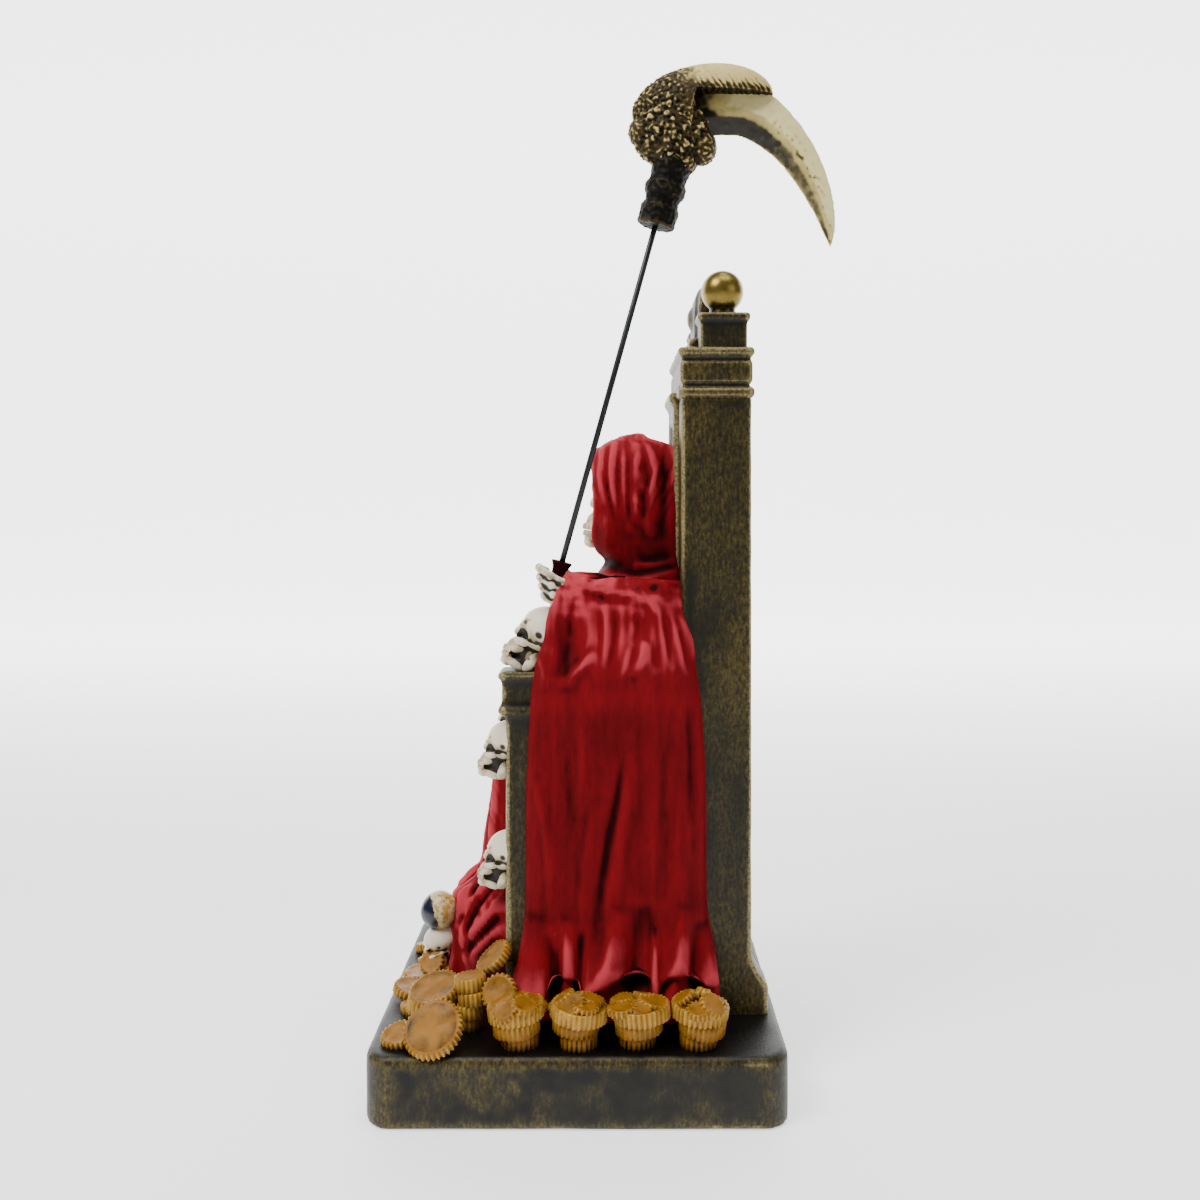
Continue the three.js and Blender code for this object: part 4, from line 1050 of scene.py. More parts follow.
class FIGURE_OT_throne(bpy.types.Operator):
    """Posts, capitals, finials, back wall, seat and armrests"""

    bl_idname = "figure.throne"
    bl_label = "Throne"

    def posts(self):
        bm = bmesh.new()
        toe, plinth, cove, steps = 5.1, 8, 11, 8
        levels = [(-1, 0, toe), (plinth, 0, toe)]
        for i in range(1, steps + 1):
            t = i / steps
            levels.append((plinth + cove * t, 0, toe * (1 - math.sin(t * math.pi / 2))))
        levels.append((POST["top"] + 1, 0, 0))
        column(bm, (POST["inner"], POST["outer"]), (POST["front"], POST["back"]), levels)
        both_sides(bm)
        throne_piece(bm, "throne_posts", 1.0, post_shade_and_gold)

    def tops(self):
        bm = bmesh.new()
        capital(bm, POST["inner"], POST["outer"])
        both_sides(bm)
        capital(bm, -POST["inner"], POST["inner"])
        throne_piece(bm, "throne_capitals", 0.6, lambda p: -0.18)

    def finials(self):
        x, y = (POST["inner"] + POST["outer"]) / 2, FINIAL["middle"]
        neck, top = CAPITAL_TOP + FINIAL["neck"], CAPITAL_TOP + FINIAL["height"]
        radius = sizes().ball / MM
        bm = bmesh.new()
        parts = (("neck_half", CAPITAL_TOP - 1, neck, 0.4), ("lid_half", neck, top, 0.8))
        for part, low, high, edge in parts:
            wide, deep = FINIAL[part]
            block(bm, (x - wide, x + wide), (y - deep, y + deep), (low, high), edge)
        both_sides(bm)
        throne_piece(bm, "throne_finials", 0.5)
        bm = bmesh.new()
        ball(bm, (x, y, top + 0.6 + radius), (radius, radius, radius), around=48, rows=32)
        bar(bm, (x, y, top - 0.6), (x, y, top + 1.8), 4.3, 3.9, 32)
        both_sides(bm)
        bm = fuse(bm, 0.45, 2)

        # Painted shade under the balls
        def shade(point):
            return 0.75 * (1 - blend(point.z, top + 1, top + 8))

        piece(bm, "finial_balls", ball_paint, reach=0.8, depth=0.3, painted_shade_and_tone=shade)

    def wall(self):
        bm = bmesh.new()
        inner, top = POST["inner"] + 1, POST["top"]
        front, back = WALL["front"], WALL["back"]
        recess, stile, rail, moulding = 1.2, 12, 6, (front + 0.4, top + 1.1)
        block(bm, (-inner, inner), (front + recess, back), (-1, top + 1))
        for low, high in ((-inner, -stile), (stile, inner)):
            block(bm, (low, high), (front, back - 1), (-1, top), 0.3)
        block(bm, (-inner, inner), (front, back - 1), (top - rail, top), 0.3)
        bar(bm, (-inner, *moulding), (inner, *moulding), 2, 2, 20)
        panel_half, panel_foot, panel_head, panel_rise = 9, 30, 12, 0.9
        panel = (back - 1, back + panel_rise)
        block(bm, (-panel_half, panel_half), panel, (panel_foot, top - panel_head), 0.8)
        throne_piece(bm, "throne_wall", 1.05)

    def crest(self):
        bm = bmesh.new()
        foot = CAPITAL_TOP
        front, back, half, height = 36.5, 46.0, 14.0, 27.4
        spring = 0.35 * height
        rise = height - spring
        block(bm, (-half, half), (front, back), (foot - 1, foot + spring))
        turn = Matrix.Rotation(math.pi / 2, 4, "X")
        for share, step in ((1.0, 0.0), (0.72, 1.1)):
            size = Matrix.Diagonal((half * share, 1, rise * share, 1))
            middle = Matrix.Translation((0, (front + back) / 2, foot + spring))
            bmesh.ops.create_cone(
                bm,
                cap_ends=True,
                segments=48,
                radius1=1,
                radius2=1,
                depth=back - front + 2 * step,
                matrix=middle @ size @ turn,
            )
        ball(bm, (0, front - 0.6, foot + spring + 3), (4.2, 2.2, 4.2))
        bm = fuse(bm, 0.6)
        for vert in bm.verts:
            above = max(0.0, min(1.0, (vert.co.z - foot - height / 2) / (height / 2)))
            thinned = 0.9 * (1 - math.sqrt(1 - above * above))
            vert.co.y = back + (vert.co.y - back) * (1 - thinned)
        block(bm, (-half, half), (front - 3, back + 2), (foot - 1, foot + 4.5), 0.8)
        throne_piece(bm, "throne_crest", 0.6)

    def seat(self):
        bm = bmesh.new()
        end, outer, foot = WALL["front"] + 2, POST["outer"], SEAT["side_top"]
        side_inner, post_end, seat_half = 20, -11, 25
        block(bm, (side_inner, outer), (SEAT["front"], end), (-1, foot + 2), 0.4)
        block(bm, (SEAT["post_inner"], outer), (SEAT["post_front"], post_end), (-1, foot + 1), 0.5)
        inner, outer, front, top = (ARMREST[key] for key in ("inner", "outer", "front", "top"))
        groove, lip = 1.2, 2.2
        block(bm, (inner + groove, outer - groove), (front + groove, end), (foot, top - groove / 2), 0.3)
        for low, high in ((foot, foot + lip), (top - lip, top)):
            block(bm, (inner, outer), (front, end), (low, high), 0.7)
        both_sides(bm)
        block(bm, (-seat_half, seat_half), (SEAT["front"], end), (-1, SEAT["height"]), 0.5)
        throne_piece(bm, "throne_seat", 1.0, lambda p: -0.35 * (1 - blend(p.z, 20, 60)))

    def execute(self, context):
        self.posts()
        self.tops()
        self.finials()
        self.wall()
        self.crest()
        self.seat()
        return {"FINISHED"}


# Bones

SKULL_HEIGHT = 30.0
# Middle, radii and turn of each lump of a skull, and middle, radii and direction of each hollow, in
# shares of its height; those off the middle are there on both sides
SKULL_LUMPS = [
    ((0, 0.10, 0.67), (0.355, 0.43, 0.33), (0, 0, 0)),
    ((0, -0.17, 0.64), (0.27, 0.15, 0.14), (0, 0, 0)),
    ((0.14, -0.29, 0.585), (0.12, 0.06, 0.035), (0, -8, -14)),
    ((0.24, -0.21, 0.40), (0.07, 0.12, 0.05), (0, 10, 26)),
    ((0.31, -0.01, 0.43), (0.03, 0.20, 0.035), (0, 0, 8)),
    ((0, -0.31, 0.47), (0.05, 0.06, 0.10), (0, 0, 0)),
    ((0, -0.22, 0.31), (0.19, 0.15, 0.11), (0, 0, 0)),
    ((0, -0.25, 0.25), (0.165, 0.13, 0.05), (0, 0, 0)),
    ((0, -0.27, 0.055), (0.12, 0.09, 0.06), (0, 0, 0)),
    ((0.16, -0.14, 0.085), (0.06, 0.17, 0.06), (-12, 0, 20)),
    ((0.235, 0.03, 0.22), (0.035, 0.075, 0.17), (-14, 0, 0)),
    ((0, -0.25, 0.12), (0.14, 0.12, 0.045), (0, 0, 0)),
    ((0, 0.0, 0.26), (0.16, 0.20, 0.26), (0, 0, 0)),
]
SKULL_HOLLOWS = [
    ((0.165, -0.35, 0.49), (0.105, 0.21, 0.09), (-0.25, 1, 0.05)),
    ((0.025, -0.39, 0.385), (0.035, 0.12, 0.06), (0, 1, 0)),
    ((0.42, -0.08, 0.57), (0.13, 0.14, 0.11), (-1, 0, 0)),
    ((0.31, -0.12, 0.25), (0.12, 0.15, 0.10), (-1, 0.3, 0)),
]
# Height, size, reach forwards and half-width of the upper and the lower row of teeth
TEETH = [(0.218, 0.062, 0.135, 0.155), (0.148, 0.055, 0.12, 0.135)]
# Height, chin's place, degrees of tilt and turn, and width of each skull
HEAD_SKULL = [(30, (0, 10.4, 138), -10, 0, 1.0)]
ARMREST_SKULLS = [(23, (ARM_X, -18.2, 101.7), -28, 0, 0.86), (23, (-ARM_X, -11.7, 101.7), -28, 0, 0.86)]
POST_SKULLS = [(19, (x, -25.4, chin), -13, 0, 0.78) for x in (22.5, -22.5) for chin in (69.3, 35.8)]


def unit_skull(voxel):
    """A skull with teeth, chin at the origin and looking along -Y."""
    tall = SKULL_HEIGHT
    bm = bmesh.new()
    for place, radii, turn in SKULL_LUMPS:
        for side in (1, -1) if place[0] else (1,):
            middle = Vector((side * place[0], place[1], place[2])) * tall
            ball(bm, middle, [r * tall for r in radii], (turn[0], side * turn[1], side * turn[2]), 24, 16)
    bm = fuse(bm, voxel, 2)
    for place, radii, direction in SKULL_HOLLOWS:
        for side in (1, -1):
            middle = Vector((side * place[0], place[1], place[2])) * tall
            press(bm, middle, [r * tall for r in radii], (side * direction[0], *direction[1:]))
    press(bm, Vector((0, -0.42, 0.185)) * tall, Vector((0.24, 0.14, 0.02)) * tall, (0, 1, 0))
    smooth(bm, 1)
    teeth, fan = 8, 66
    for level, rise, reach, across in TEETH:
        for k in range(teeth):
            turn = math.radians(fan * (2 * k / (teeth - 1) - 1))
            middle = Vector((across * math.sin(turn), -0.245 - reach * math.cos(turn), level)) * tall
            size = Matrix.Diagonal((0.037 * tall, 0.035 * tall, rise * tall, 1))
            matrix = Matrix.Translation(middle) @ Matrix.Rotation(turn, 4, "Z") @ size
            cube = bmesh.ops.create_cube(bm, size=1, matrix=matrix)
            rounded(bm, edges_of(cube["verts"]), 0.25, 2)
    mesh = bpy.data.meshes.new("unit_skull")
    bm.to_mesh(mesh)
    bm.free()
    return mesh


def set_skull(bm, mesh, height, place, tilt, turn, width):
    """Adds the skull at this height, chin at a place, tilted and turned by degrees. Painted shade is
    stored from the cheeks down, with uneven wash over the skull that is strongest low down."""
    start = len(bm.verts)
    bm.from_mesh(mesh)
    stored = bm.verts.layers.float.get("painted_shade_and_tone") or bm.verts.layers.float.new("painted_shade_and_tone")
    bm.verts.ensure_lookup_table()
    scale = height / SKULL_HEIGHT
    rotation = Euler((math.radians(tilt), 0, math.radians(turn))).to_matrix().to_4x4()
    size = Matrix.Diagonal((scale * width, scale, scale, 1))
    matrix = Matrix.Translation(place) @ rotation @ size
    added = bm.verts[start:]
    for vert in added:
        # Painted shade from the cheeks down, and uneven wash that is strongest there
        low = 1 - blend(vert.co.z / SKULL_HEIGHT, 0.5, 0.8)
        vert[stored] = 0.75 * low - 0.1 + 0.9 * noise.noise(vert.co / 4.5) * (0.25 + 0.75 * low)
    bmesh.ops.transform(bm, matrix=matrix, verts=added)


def skull_piece(name, voxel, skulls, depth):
    """A piece of one or more skulls, each with what set_skull asks for."""
    mesh = unit_skull(voxel)
    bm = bmesh.new()
    for skull in skulls:
        set_skull(bm, mesh, *skull)
    bpy.data.meshes.remove(mesh)
    piece(bm, name, bone_paint, depth=depth)


def bone(bm, points, radius):
    """A chain of finger bones: slim shafts with a knob at every joint."""
    for start, end in zip(points, points[1:]):
        bar(bm, start, end, radius * 0.86, radius * 0.78)
    for point in points[:-1]:
        ball(bm, point, (radius, radius, radius), around=12, rows=8)
    tip = radius * 0.85
    ball(bm, points[-1], (tip, tip, tip), around=12, rows=8)


class FIGURE_OT_skulls(bpy.types.Operator):
    """The figure's head, the skulls on the armrests and those on the posts below them"""

    bl_idname = "figure.skulls"
    bl_label = "Skulls"

    def execute(self, context):
        skull_piece("head_skull", 0.56, HEAD_SKULL, 0.25)
        skull_piece("armrest_skulls", 0.56, ARMREST_SKULLS, 0.16)
        skull_piece("post_skulls", 0.75, POST_SKULLS, 0.16)
        return {"FINISHED"}


class FIGURE_OT_hands(bpy.types.Operator):
    """Left fist round the handle's stub, and right hand resting on a skull"""

    bl_idname = "figure.hands"
    bl_label = "Hands"

    def fist(self):
        bm = bmesh.new()
        middle = Vector((24, -8.3, 127.4))
        for below in range(4):
            points = []
            for k in range(5):
                bend = math.radians(55 + 45 * k)
                outward = Vector((math.sin(bend), math.cos(bend), 0))
                level = (1.5 - below) * 2.8 - 2.7 * outward.y
                points.append(middle + Vector((0, 0.3 * below**1.5, level)) + outward * 4.7)
            bone(bm, points, 1.38)
        ball(bm, middle + Vector((-0.5, 2.0, -1.0)), (3.0, 3.2, 5.4))
        bone(bm, [middle + Vector(p) for p in ((0.6, 4.6, 4.4), (-0.6, 2.8, 6.2))], 1.5)
        ball(bm, middle + Vector((-3, 8.3, -2.6)), (3, 6.4, 3))
        bm = fuse(bm, 0.32)

        def worn(point):
            return 0.6 + 0.8 * noise.noise(point / 1.7)

        piece(bm, "left_fist", bone_paint, reach=1.3, depth=0.14, painted_shade_and_tone=worn)

    def stub(self):
        bm = bmesh.new()
        funnel = [(2.3, -12), (2.3, -2.6), (2.7, -1.2), (3.2, -0.3), (3.1, 0), (1.9, 0), (1.6, -1.2)]
        turned(bm, [(0, -12), *funnel, (0, -1.2)], 32, wire_matrix(0))
        piece(bm, "handle_stub", red_paint, reach=0.8, depth=0.2, painted_shade_and_tone=lambda p: 3.0)

    def resting(self):
        bm = bmesh.new()
        x, y, z = -ARM_X, -2.7, ARMREST["top"] + 0.8 * ARMREST_SKULLS[1][0]
        for place in (-1.5, -0.5, 0.5, 1.5):
            points = []
            for k in range(4):
                t = k / 3
                points.append(Vector((x + place * 2.2 * (1 + t / 2), y - 9 * t, z + 1.2 - 6 * t * t)))
            bone(bm, [Vector((x + place, y + 6, z + 1.2)), *points], 1.3)
        thumb = ((x + 2, y + 5, z), (x + 6.4, y, z - 1), (x + 7.4, y - 4.5, z - 3.6))
        bone(bm, [Vector(p) for p in thumb], 1.4)
        ball(bm, (x, y + 3.4, z + 0.3), (4.2, 5.0, 1.8))
        ball(bm, (x - 0.5, y + 10, z + 0.2), (3.0, 8, 2.8))
        bm = fuse(bm, 0.35)
        piece(bm, "right_hand", bone_paint, reach=1.2, depth=0.2)

    def execute(self, context):
        self.fist()
        self.stub()
        self.resting()
        return {"FINISHED"}


# Coins and the globe

# Rise from coin to coin in a stack
STACK_STEP = 3.9
# Place across, distance behind the base's front, number of coins, top radius and taper of each heap
HEAPS = [
    (35, 17.2, 2, 7.6, 0.4),
    (37.5, 28.2, 4, 4.8, 0.3),
    (-36, 19.2, 2, 8.0, 0.6),
    (-34, 32.2, 2, 6.6, 0.4),
]
BUNCHES = {"x": 47.0, "first": 42.6, "pitch": 17.3, "near": 3, "far": 2, "radius": 8.2, "taper": 1.4}
# Place across, distance behind the base's front, height, radius and tilts of each loose coin
LOOSE_COINS = [
    (35, 17.2, 10.2, 7.8, 12, 16),
    (49.5, 19, 5.2, 8.8, 12, 36),
    (46, 8.8, 1.8, 5.4, 10, 14),
    (30, 34.2, 17.7, 6.1, 39, 15),
    (42, 36.9, 12.4, 5.4, 15, 55),
    (12.6, 13, 9.2, 4.2, 10, 50),
    (24.5, 12.2, 1.4, 7, 8, -4),
    (16, 7.2, 2.2, 6, -14, 4),
    (1, 8.7, 1.2, 6.8, 6, 0),
    (-7, 11.2, 3.4, 6, 18, -10),
    (-22, 8.7, 1.6, 6.8, 10, -12),
    (-37, 17.2, 9.2, 8, 12, -12),
    (-48, 11.2, 2.4, 6.6, 8, -22),
]
GLOBE = {"x": 8.0, "front": 14.5, "radius": 5.9, "skull": 13.5, "chin": 6.3, "middle": 24.2}


def joined(bm, small):
    """Adds a small mesh to a large one and frees it. Building it apart is much quicker."""
    mesh = bpy.data.meshes.new("small")
    small.to_mesh(mesh)
    small.free()
    bm.from_mesh(mesh)
    bpy.data.meshes.remove(mesh)


def coin(bm, place, radius, thickness, tilt, spin):
    """A coin with a reeded edge and a raised rim round both faces, spun and then tilted by
    degrees about X and Y."""
    reeds = max(16, round(math.tau * radius / (sizes().reed_pitch / MM)))
    half, sunk, field, rim, edge = thickness / 2, 0.12, 1.7, 1.2, 0.4
    face = [(out, half - sunk) for out in (0, radius * 0.45, radius - field)]
    face += [(radius - rim, half), (radius - edge, half), (radius, half - 0.35)]
    profile = [(out, -up) for out, up in face] + face[::-1]
    small = bmesh.new()
    turned(small, profile, 2 * reeds, Matrix.Identity(4))
    groove = sizes().reed / MM
    for vert in small.verts:
        step = round(math.atan2(vert.co.y, vert.co.x) / math.tau * 2 * reeds)
        if step % 2 and vert.co.xy.length > radius - 0.5:
            vert.co.xy *= (radius - groove) / radius
    rotation = Euler((math.radians(tilt[0]), math.radians(tilt[1]), 0)).to_matrix().to_4x4()
    matrix = Matrix.Translation(place) @ rotation @ Matrix.Rotation(math.radians(spin), 4, "Z")
    bmesh.ops.transform(small, matrix=matrix, verts=small.verts)
    joined(bm, small)


def bunch(bm, x, y, seed, count, top_radius, taper):
    """Coins stacked askew, wider towards the top."""
    slip, most_lean, overlap = 0.7, 5.5, 0.2
    for k in range(count):
        radius = top_radius - taper * (count - 1 - k)
        place = (
            x + slip * math.sin(seed * 2.1 + k * 2.4),
            y + slip * math.cos(seed * 1.3 + k * 1.9),
            k * STACK_STEP + STACK_STEP / 2 - overlap,
        )
        lean = most_lean if k else 0.0
        tilt = (lean * math.cos(3 * seed), lean * math.sin(3 * seed))
        coin(bm, place, radius, STACK_STEP + overlap, tilt, 37 * seed + 61 * k)


def scatter(bm, x, y, top, reach, draw):
    """A few smaller coins lying askew on the top of a bunch."""
    first = draw.uniform(0, math.tau)
    for k in range(5):
        bend = first + k * math.tau / 5 + draw.uniform(-0.3, 0.3)
        out = reach * draw.uniform(0.45, 0.72)
        place = (x + out * math.cos(bend), y + out * math.sin(bend), top + draw.uniform(-0.6, 0.7))
        lean = draw.uniform(10, 42)
        tilt = (-lean * math.sin(bend), lean * math.cos(bend))
        coin(bm, place, reach * draw.uniform(0.42, 0.56), 2.2, tilt, draw.uniform(0, 180))


class FIGURE_OT_coins(bpy.types.Operator):
    """Bunches of coins along both sides and loose ones in front"""

    bl_idname = "figure.coins"
    bl_label = "Coins"

    def execute(self, context):
        bm = bmesh.new()
        for k, (x, distance, *rest) in enumerate(HEAPS):
            bunch(bm, x, BASE_FRONT + distance, k + 1, *rest)
        row = BUNCHES
        draw = random.Random(SEED)
        for k in range(4):
            y = BASE_FRONT + row["first"] + k * row["pitch"]
            for side, count, seed in ((1, row["near"], k), (-1, row["far"], k + 5)):
                bunch(bm, side * row["x"], y, seed, count, row["radius"], row["taper"])
                scatter(bm, side * row["x"], y, count * STACK_STEP + 0.2, row["radius"], draw)
        bunch(bm, GLOBE["x"], BASE_FRONT + GLOBE["front"] + 1, 2, 2, 5.4, 0.4)
        thickness = sizes().coin / MM
        for x, distance, z, radius, *tilt in LOOSE_COINS:
            coin(bm, (x, BASE_FRONT + distance, z), radius, thickness, tilt, 13 * x)
        roughen(bm, 0.3, 3.2)

        def painted_shade_and_tone(point):
            # Painted shade low in the stacks behind the front heaps, made uneven by noise
            low = 1 - blend(point.z, 1, 9)
            return (low + 0.4 * noise.noise(point / 2.5)) * blend(point.y - BASE_FRONT, 28, 34)

        piece(bm, "coins", coin_paint, reach=0.6, depth=0.55, painted_shade_and_tone=painted_shade_and_tone)
        return {"FINISHED"}


class FIGURE_OT_globe(bpy.types.Operator):
    """Small globe that stands on a skull among the coins"""

    bl_idname = "figure.globe"
    bl_label = "Globe"

    def execute(self, context):
        x, y = GLOBE["x"], BASE_FRONT + GLOBE["front"]
        radius, middle = GLOBE["radius"], GLOBE["middle"]
        bm = bmesh.new()
        ball(bm, (x, y, middle), (radius, radius, radius), around=72, rows=48)
        roughen(bm, 0.35, 5.0)

        def patches(point):
            return 0.5 - 1.2 * blend(point.y - y + 0.3 * (point.z - middle), -3, 2)

        piece(bm, "globe", globe_paint, reach=1.0, depth=0.5, painted_shade_and_tone=patches)
        skull_piece("globe_skull", 0.75, [(GLOBE["skull"], (x, y + 1, GLOBE["chin"]), 10, 20, 1.0)], 0.25)
        return {"FINISHED"}


# Scythe

# Over the degrees round the blade's centre: its width, and how far its outer side stands out
BLADE_WIDTH = [(20, 22), (34, 19), (46, 15.4), (60, 12.2), (73, 9.5), (87, 5), (91, 2.6), (94, 0.6)]
BLADE_OUTER = [(20, -7), (30, -3), (38, -0.6), (44, 0), (86, 0), (94, -1.3)]
BLADE = {"radius": 56.7, "half": 2.8, "ridge": 0.37, "behind": -1.5, "below": -2.4}
KNOT = {"behind": 5.0, "above": 28.6, "radii": (7.2, 11.2, 11.4)}
# Middle, counted from the knot's own, and radii of each lobe
LOBES = [
    ((0, -9.2, 0), (5, 3.9, 4.6)),
    ((0, 9.2, -4.6), (5.4, 4.6, 5.4)),
    ((0, 3, -9), (5.4, 5, 4.4)),
]
CREST = {"behind": 14.6, "above": 36.6, "radii": (7.4, 21.8, 12.6), "cut_from": 11.0, "floor": 40.0}


def wire_matrix(distance):
    """From the wire's own axis, with a point at this distance at the origin, to the casting."""
    along = Vector((0, math.sin(WIRE["tilt"]), math.cos(WIRE["tilt"])))
    place = Matrix.Translation(WIRE["foot"] + along * distance)
    return place @ Matrix.Rotation(-WIRE["tilt"], 4, "X")


class FIGURE_OT_scythe(bpy.types.Operator):
    """Wire, banded socket, knotted head with its crest, and the curved blade"""

    bl_idname = "figure.scythe"
    bl_label = "Scythe"

    def gilded(self, bm, name, make, reach, depth, painted_shade_and_tone=None):
        piece(bm, name, make, "scythe_head", reach=reach, depth=depth, painted_shade_and_tone=painted_shade_and_tone)

    def rod(self):
        bm = bmesh.new()
        radius, tall, edge = sizes().wire / MM, 126, 0.1
        end = [(0, 0), (radius - edge, 0), (radius, edge)]
        turned(bm, end + [(out, tall - up) for out, up in end[::-1]], 24, wire_matrix(-8))
        piece(bm, "scythe_wire", wire_metal, "scythe_rod", reach=0.3, depth=0.3)

    def blade(self, mouth):
        centre = mouth + Vector((0, BLADE["behind"], BLADE["below"]))
        root, sweep = 13, 81

        def section(degrees):
            outer = BLADE["radius"] + follow(BLADE_OUTER, degrees)
            return outer, max(0.5, follow(BLADE_WIDTH, degrees))

        def place(turn, share):
            t, drawn = capped(share, 0.02, 0.99)
            outer, width = section(root + sweep * t)
            across = 0.5 + 0.5 * math.cos(turn) * drawn
            thick = min(across / BLADE["ridge"], (1 - across) / (1 - BLADE["ridge"]))
            half = BLADE["half"] * min(1, 0.12 + width / 15)
            distance = outer - width * (1 - across)
            bend = math.radians(root + sweep * t)
            x = math.copysign(half * thick, turn) * drawn
            return centre + Vector((x, distance * math.sin(bend), distance * math.cos(bend)))

        def painted_shade_and_tone(point):
            out = point - centre
            degrees = math.degrees(math.atan2(out.y, out.z))
            outer, width = section(degrees)
            across = 1 - (outer - math.hypot(out.y, out.z)) / width
            # Painted shade on the bevel along the inner side, fading towards the tip, and a painted
            # highlight on the broad outer face
            deep = 1.05 - 0.35 * blend(degrees, 35, 75)
            bevel = deep - (deep + 0.7) * blend(across, BLADE["ridge"] - 0.1, BLADE["ridge"] + 0.22)
            worn = blend(noise.noise(point / 1.5), 0.16, 0.34) * blend(degrees, 40, 60)
            chips = 1.3 * worn * bump(across, BLADE["ridge"] + 0.17, 0.14)
            # Painted shade at the root under the crest, and darker towards the tip
            ends = 1.6 * (1 - blend(degrees, 20, 34)) + 0.35 * blend(degrees, 84, 92)
            return bevel + chips + ends

        bm = bmesh.new()
        skin(bm, 64, 120, place)
        bmesh.ops.recalc_face_normals(bm, faces=bm.faces)
        bm = fuse(bm, 0.4)
        roughen(bm, 0.15, 2.2)
        self.gilded(bm, "scythe_blade", blade_paint, 1.0, 0.3, painted_shade_and_tone)

    def knot(self, mouth):
        bm = bmesh.new()
        middle = mouth + Vector((0, KNOT["behind"], KNOT["above"]))
        ball(bm, middle, KNOT["radii"], around=32, rows=20)
        for place, radii in LOBES:
            ball(bm, middle + Vector(place), radii)
        draw = random.Random(SEED)
        knobs = 260
        for _ in range(knobs):
            turn, rise = draw.uniform(0, math.tau), draw.uniform(-1, 1)
            flat = math.sqrt(1 - rise * rise)
            spot = Vector((flat * math.cos(turn), flat * math.sin(turn), rise))
            spot = Vector([a * b for a, b in zip(spot, KNOT["radii"])])
            radius = draw.uniform(0.6, 1.3)
            small = bmesh.new()
            ball(small, middle + spot * 0.98, (radius, radius, radius), around=10, rows=6)
            joined(bm, small)
        bm = fuse(bm, 0.4)
        roughen(bm, 0.5, 0.9)
        self.gilded(bm, "scythe_knot", head_paint, 1.2, 0.45)

    def crest(self, mouth):
        bm = bmesh.new()
        middle = mouth + Vector((0, CREST["behind"], CREST["above"]))
        ball(bm, middle, CREST["radii"], (10, 0, 0), 96, 60)
        floor = mouth.z + CREST["floor"]
        for vert in bm.verts:
            if vert.co.z < floor and vert.co.y > mouth.y + CREST["cut_from"]:
                vert.co.z = floor
        bmesh.ops.remove_doubles(bm, verts=bm.verts, dist=0.05)
        bm = fuse(bm, 0.4)
        bm.normal_update()
        for vert in bm.verts:
            y, rise = vert.co.y - mouth.y, vert.co.z - floor
            fringe = blend(y, 9, 16) * bump(rise, 1.4, 2.3)
            wander = 3.2 * noise.noise(vert.co / 3.2)
            strokes = 0.2 * math.sin(y * 3.6 + rise * 2.2 + wander) * fringe
            fur = 0.7 * noise.noise(vert.co / 0.9) * (1 - 0.85 * blend(y + rise * 0.4, 3, 13))
            vert.co += vert.normal * (strokes + fur)

        def painted_shade_and_tone(point):
            y, rise = point.y - mouth.y, point.z - floor
            mottled = 0.4 * noise.noise(point / 1.7)
            bright = mottled - blend(y + rise * 0.6, 3, 24) * blend(rise, -0.5, 2.8)
            # Painted shade on the crest's flat underside over the blade
            return bright + 0.5 * bump(rise, 0, 1.2) * blend(y, 9, 14)

        self.gilded(bm, "scythe_crest", head_paint, 1.2, 0.4, painted_shade_and_tone)

    def socket(self):
        bm = bmesh.new()
        # Radius and height of the rings round the socket
        bands = [
            (5.4, 0), (5.8, 0.4), (5.9, 5.6), (5.5, 6.2), (5.1, 7), (5.3, 9), (5.9, 9.6), (6.2, 10.4),
            (6.3, 12.6), (5.8, 13.4), (5.5, 14), (5.6, 16), (6.0, 17), (6.1, 19), (5.8, 21),
        ]
        turned(bm, [(0, 0), *bands, (0, 22)], 40, wire_matrix(WIRE["visible"]))
        bmesh.ops.recalc_face_normals(bm, faces=bm.faces)
        bm = fuse(bm, 0.4)
        roughen(bm, 0.35, 1.2)
        self.gilded(bm, "scythe_socket", head_paint, 1.2, 0.4, lambda p: 0.75)

    def execute(self, context):
        mouth = wire_matrix(WIRE["visible"]).translation
        self.rod()
        self.socket()
        self.knot(mouth)
        self.crest(mouth)
        self.blade(mouth)
        return {"FINISHED"}


# Stage


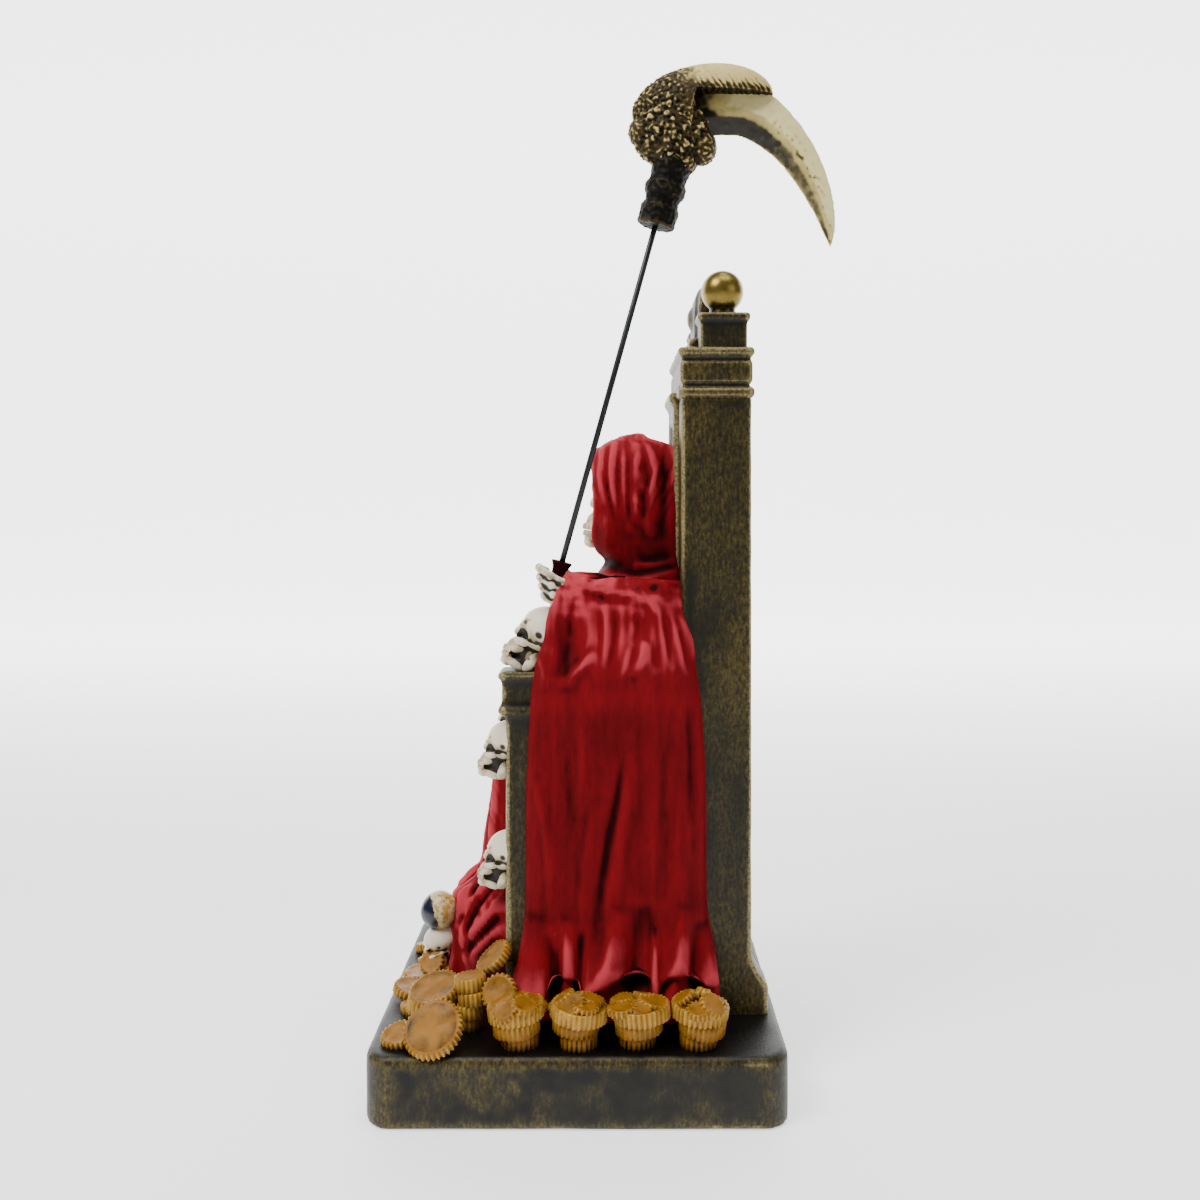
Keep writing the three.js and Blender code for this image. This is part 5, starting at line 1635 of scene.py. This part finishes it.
class FIGURE_OT_stage(bpy.types.Operator):
    """Pale floor that curves up behind, soft lights and the camera at the photograph's view"""

    bl_idname = "figure.stage"
    bl_label = "Stage"

    def light(self, name, place, power_watts, size):
        data = bpy.data.lights.new(name, "AREA")
        data.energy = power_watts
        data.size = size
        made = bpy.data.objects.new(name, data)
        made.location = place
        aim = Vector((0, 0, 0.15)) - Vector(place)
        made.rotation_euler = aim.to_track_quat("-Z", "Y").to_euler()
        bpy.context.scene.collection.objects.link(made)

    def floor(self):
        flat, curve, rows = 1.2, 0.9, 80
        bm = bmesh.new()
        bmesh.ops.create_grid(bm, x_segments=rows, y_segments=1, size=4)
        for vert in bm.verts:
            past = -vert.co.x - flat
            if past > 0:
                bend = min(past / curve, math.pi / 2)
                vert.co.x = -flat - curve * math.sin(bend)
                vert.co.z = curve * (1 - math.cos(bend)) + max(0.0, past - curve * math.pi / 2)
        mesh = bpy.data.meshes.new("floor")
        bm.to_mesh(mesh)
        bm.free()
        mesh.shade_smooth()
        # Matt white card: even and pale. It glows a little under the figure and more behind it, as a
        # lit background does, so that it fades to white.
        material, tree = new_material("matt_white_card")
        place = add_node(tree, "TexCoord").outputs["Object"]
        x = add_node(tree, "SeparateXYZ", {0: place}).outputs[0]
        near, far = cover(tree, (x, 0.2, 0.08, 1.1)), cover(tree, (x, -0.1, -1.0, 2.6))
        glow = add_node(tree, "Math", {0: near, 1: far}, operation="ADD").outputs[0]
        tone = (*paints().floor, 1)
        inputs = {"Base Color": tone, "Roughness": 0.8, "Emission Color": tone, "Emission Strength": glow}
        shader = add_node(tree, "BsdfPrincipled", inputs)
        add_node(tree, "OutputMaterial", {"Surface": shader.outputs[0]})
        mesh.materials.append(material)
        made = bpy.data.objects.new("floor", mesh)
        bpy.context.scene.collection.objects.link(made)

    def camera(self):
        distance, across, height = 0.376, 0.0093, 0.1755
        data = bpy.data.cameras.new("photo_view")
        data.sensor_width = 36
        data.lens = 34.65
        data.shift_x = -0.01
        data.shift_y = -0.085
        made = bpy.data.objects.new("photo_view", data)
        made.location = (distance, across, height)
        made.rotation_euler = (math.pi / 2, 0, math.pi / 2)
        bpy.context.scene.collection.objects.link(made)
        bpy.context.scene.camera = made

    def world(self):
        world = bpy.data.worlds.new("studio")
        world.use_nodes = True
        background = world.node_tree.nodes["Background"]
        background.inputs["Color"].default_value = (1, 1, 1, 1)
        background.inputs["Strength"].default_value = 0.07
        bpy.context.scene.world = world

    def execute(self, context):
        self.floor()
        self.camera()
        self.world()
        self.light("key", (0.35, -0.45, 0.85), 8, 0.4)
        self.light("top", (0.1, 0.12, 1.0), 6, 0.6)
        self.light("fill", (0.5, 0.6, 0.4), 0.8, 0.4)
        return {"FINISHED"}


class FIGURE_PT_panel(bpy.types.Panel):
    """Lists the operators, the sizes and the colours"""

    bl_idname = "FIGURE_PT_panel"
    bl_label = "Hooded Skeleton"
    bl_space_type = "VIEW_3D"
    bl_region_type = "UI"
    bl_category = "Figure"

    def draw(self, context):
        layout = self.layout
        for operator in OPERATORS:
            layout.operator(operator.bl_idname)
        for group in (context.scene.figure_sizes, context.scene.figure_paints):
            for name in group.bl_rna.properties.keys():
                if name not in {"rna_type", "name"}:
                    layout.prop(group, name)


OPERATORS = (
    FIGURE_OT_stage,
    FIGURE_OT_base,
    FIGURE_OT_throne,
    FIGURE_OT_robe,
    FIGURE_OT_capes,
    FIGURE_OT_hood,
    FIGURE_OT_skulls,
    FIGURE_OT_hands,
    FIGURE_OT_coins,
    FIGURE_OT_globe,
    FIGURE_OT_scythe,
)
CLASSES = (FigureSizes, FigurePaints, *OPERATORS, FIGURE_PT_panel)


def register():
    for cls in CLASSES:
        bpy.utils.register_class(cls)
    bpy.types.Scene.figure_sizes = bpy.props.PointerProperty(type=FigureSizes)
    bpy.types.Scene.figure_paints = bpy.props.PointerProperty(type=FigurePaints)


def unregister():
    del bpy.types.Scene.figure_paints
    del bpy.types.Scene.figure_sizes
    for cls in reversed(CLASSES):
        bpy.utils.unregister_class(cls)


def main():
    register()
    bpy.ops.figure.stage()
    bpy.ops.figure.base()
    bpy.ops.figure.throne()
    bpy.ops.figure.robe()
    bpy.ops.figure.capes()
    bpy.ops.figure.hood()
    bpy.ops.figure.skulls()
    bpy.ops.figure.hands()
    bpy.ops.figure.coins()
    bpy.ops.figure.globe()
    bpy.ops.figure.scythe()


if __name__ == "__main__":
    main()
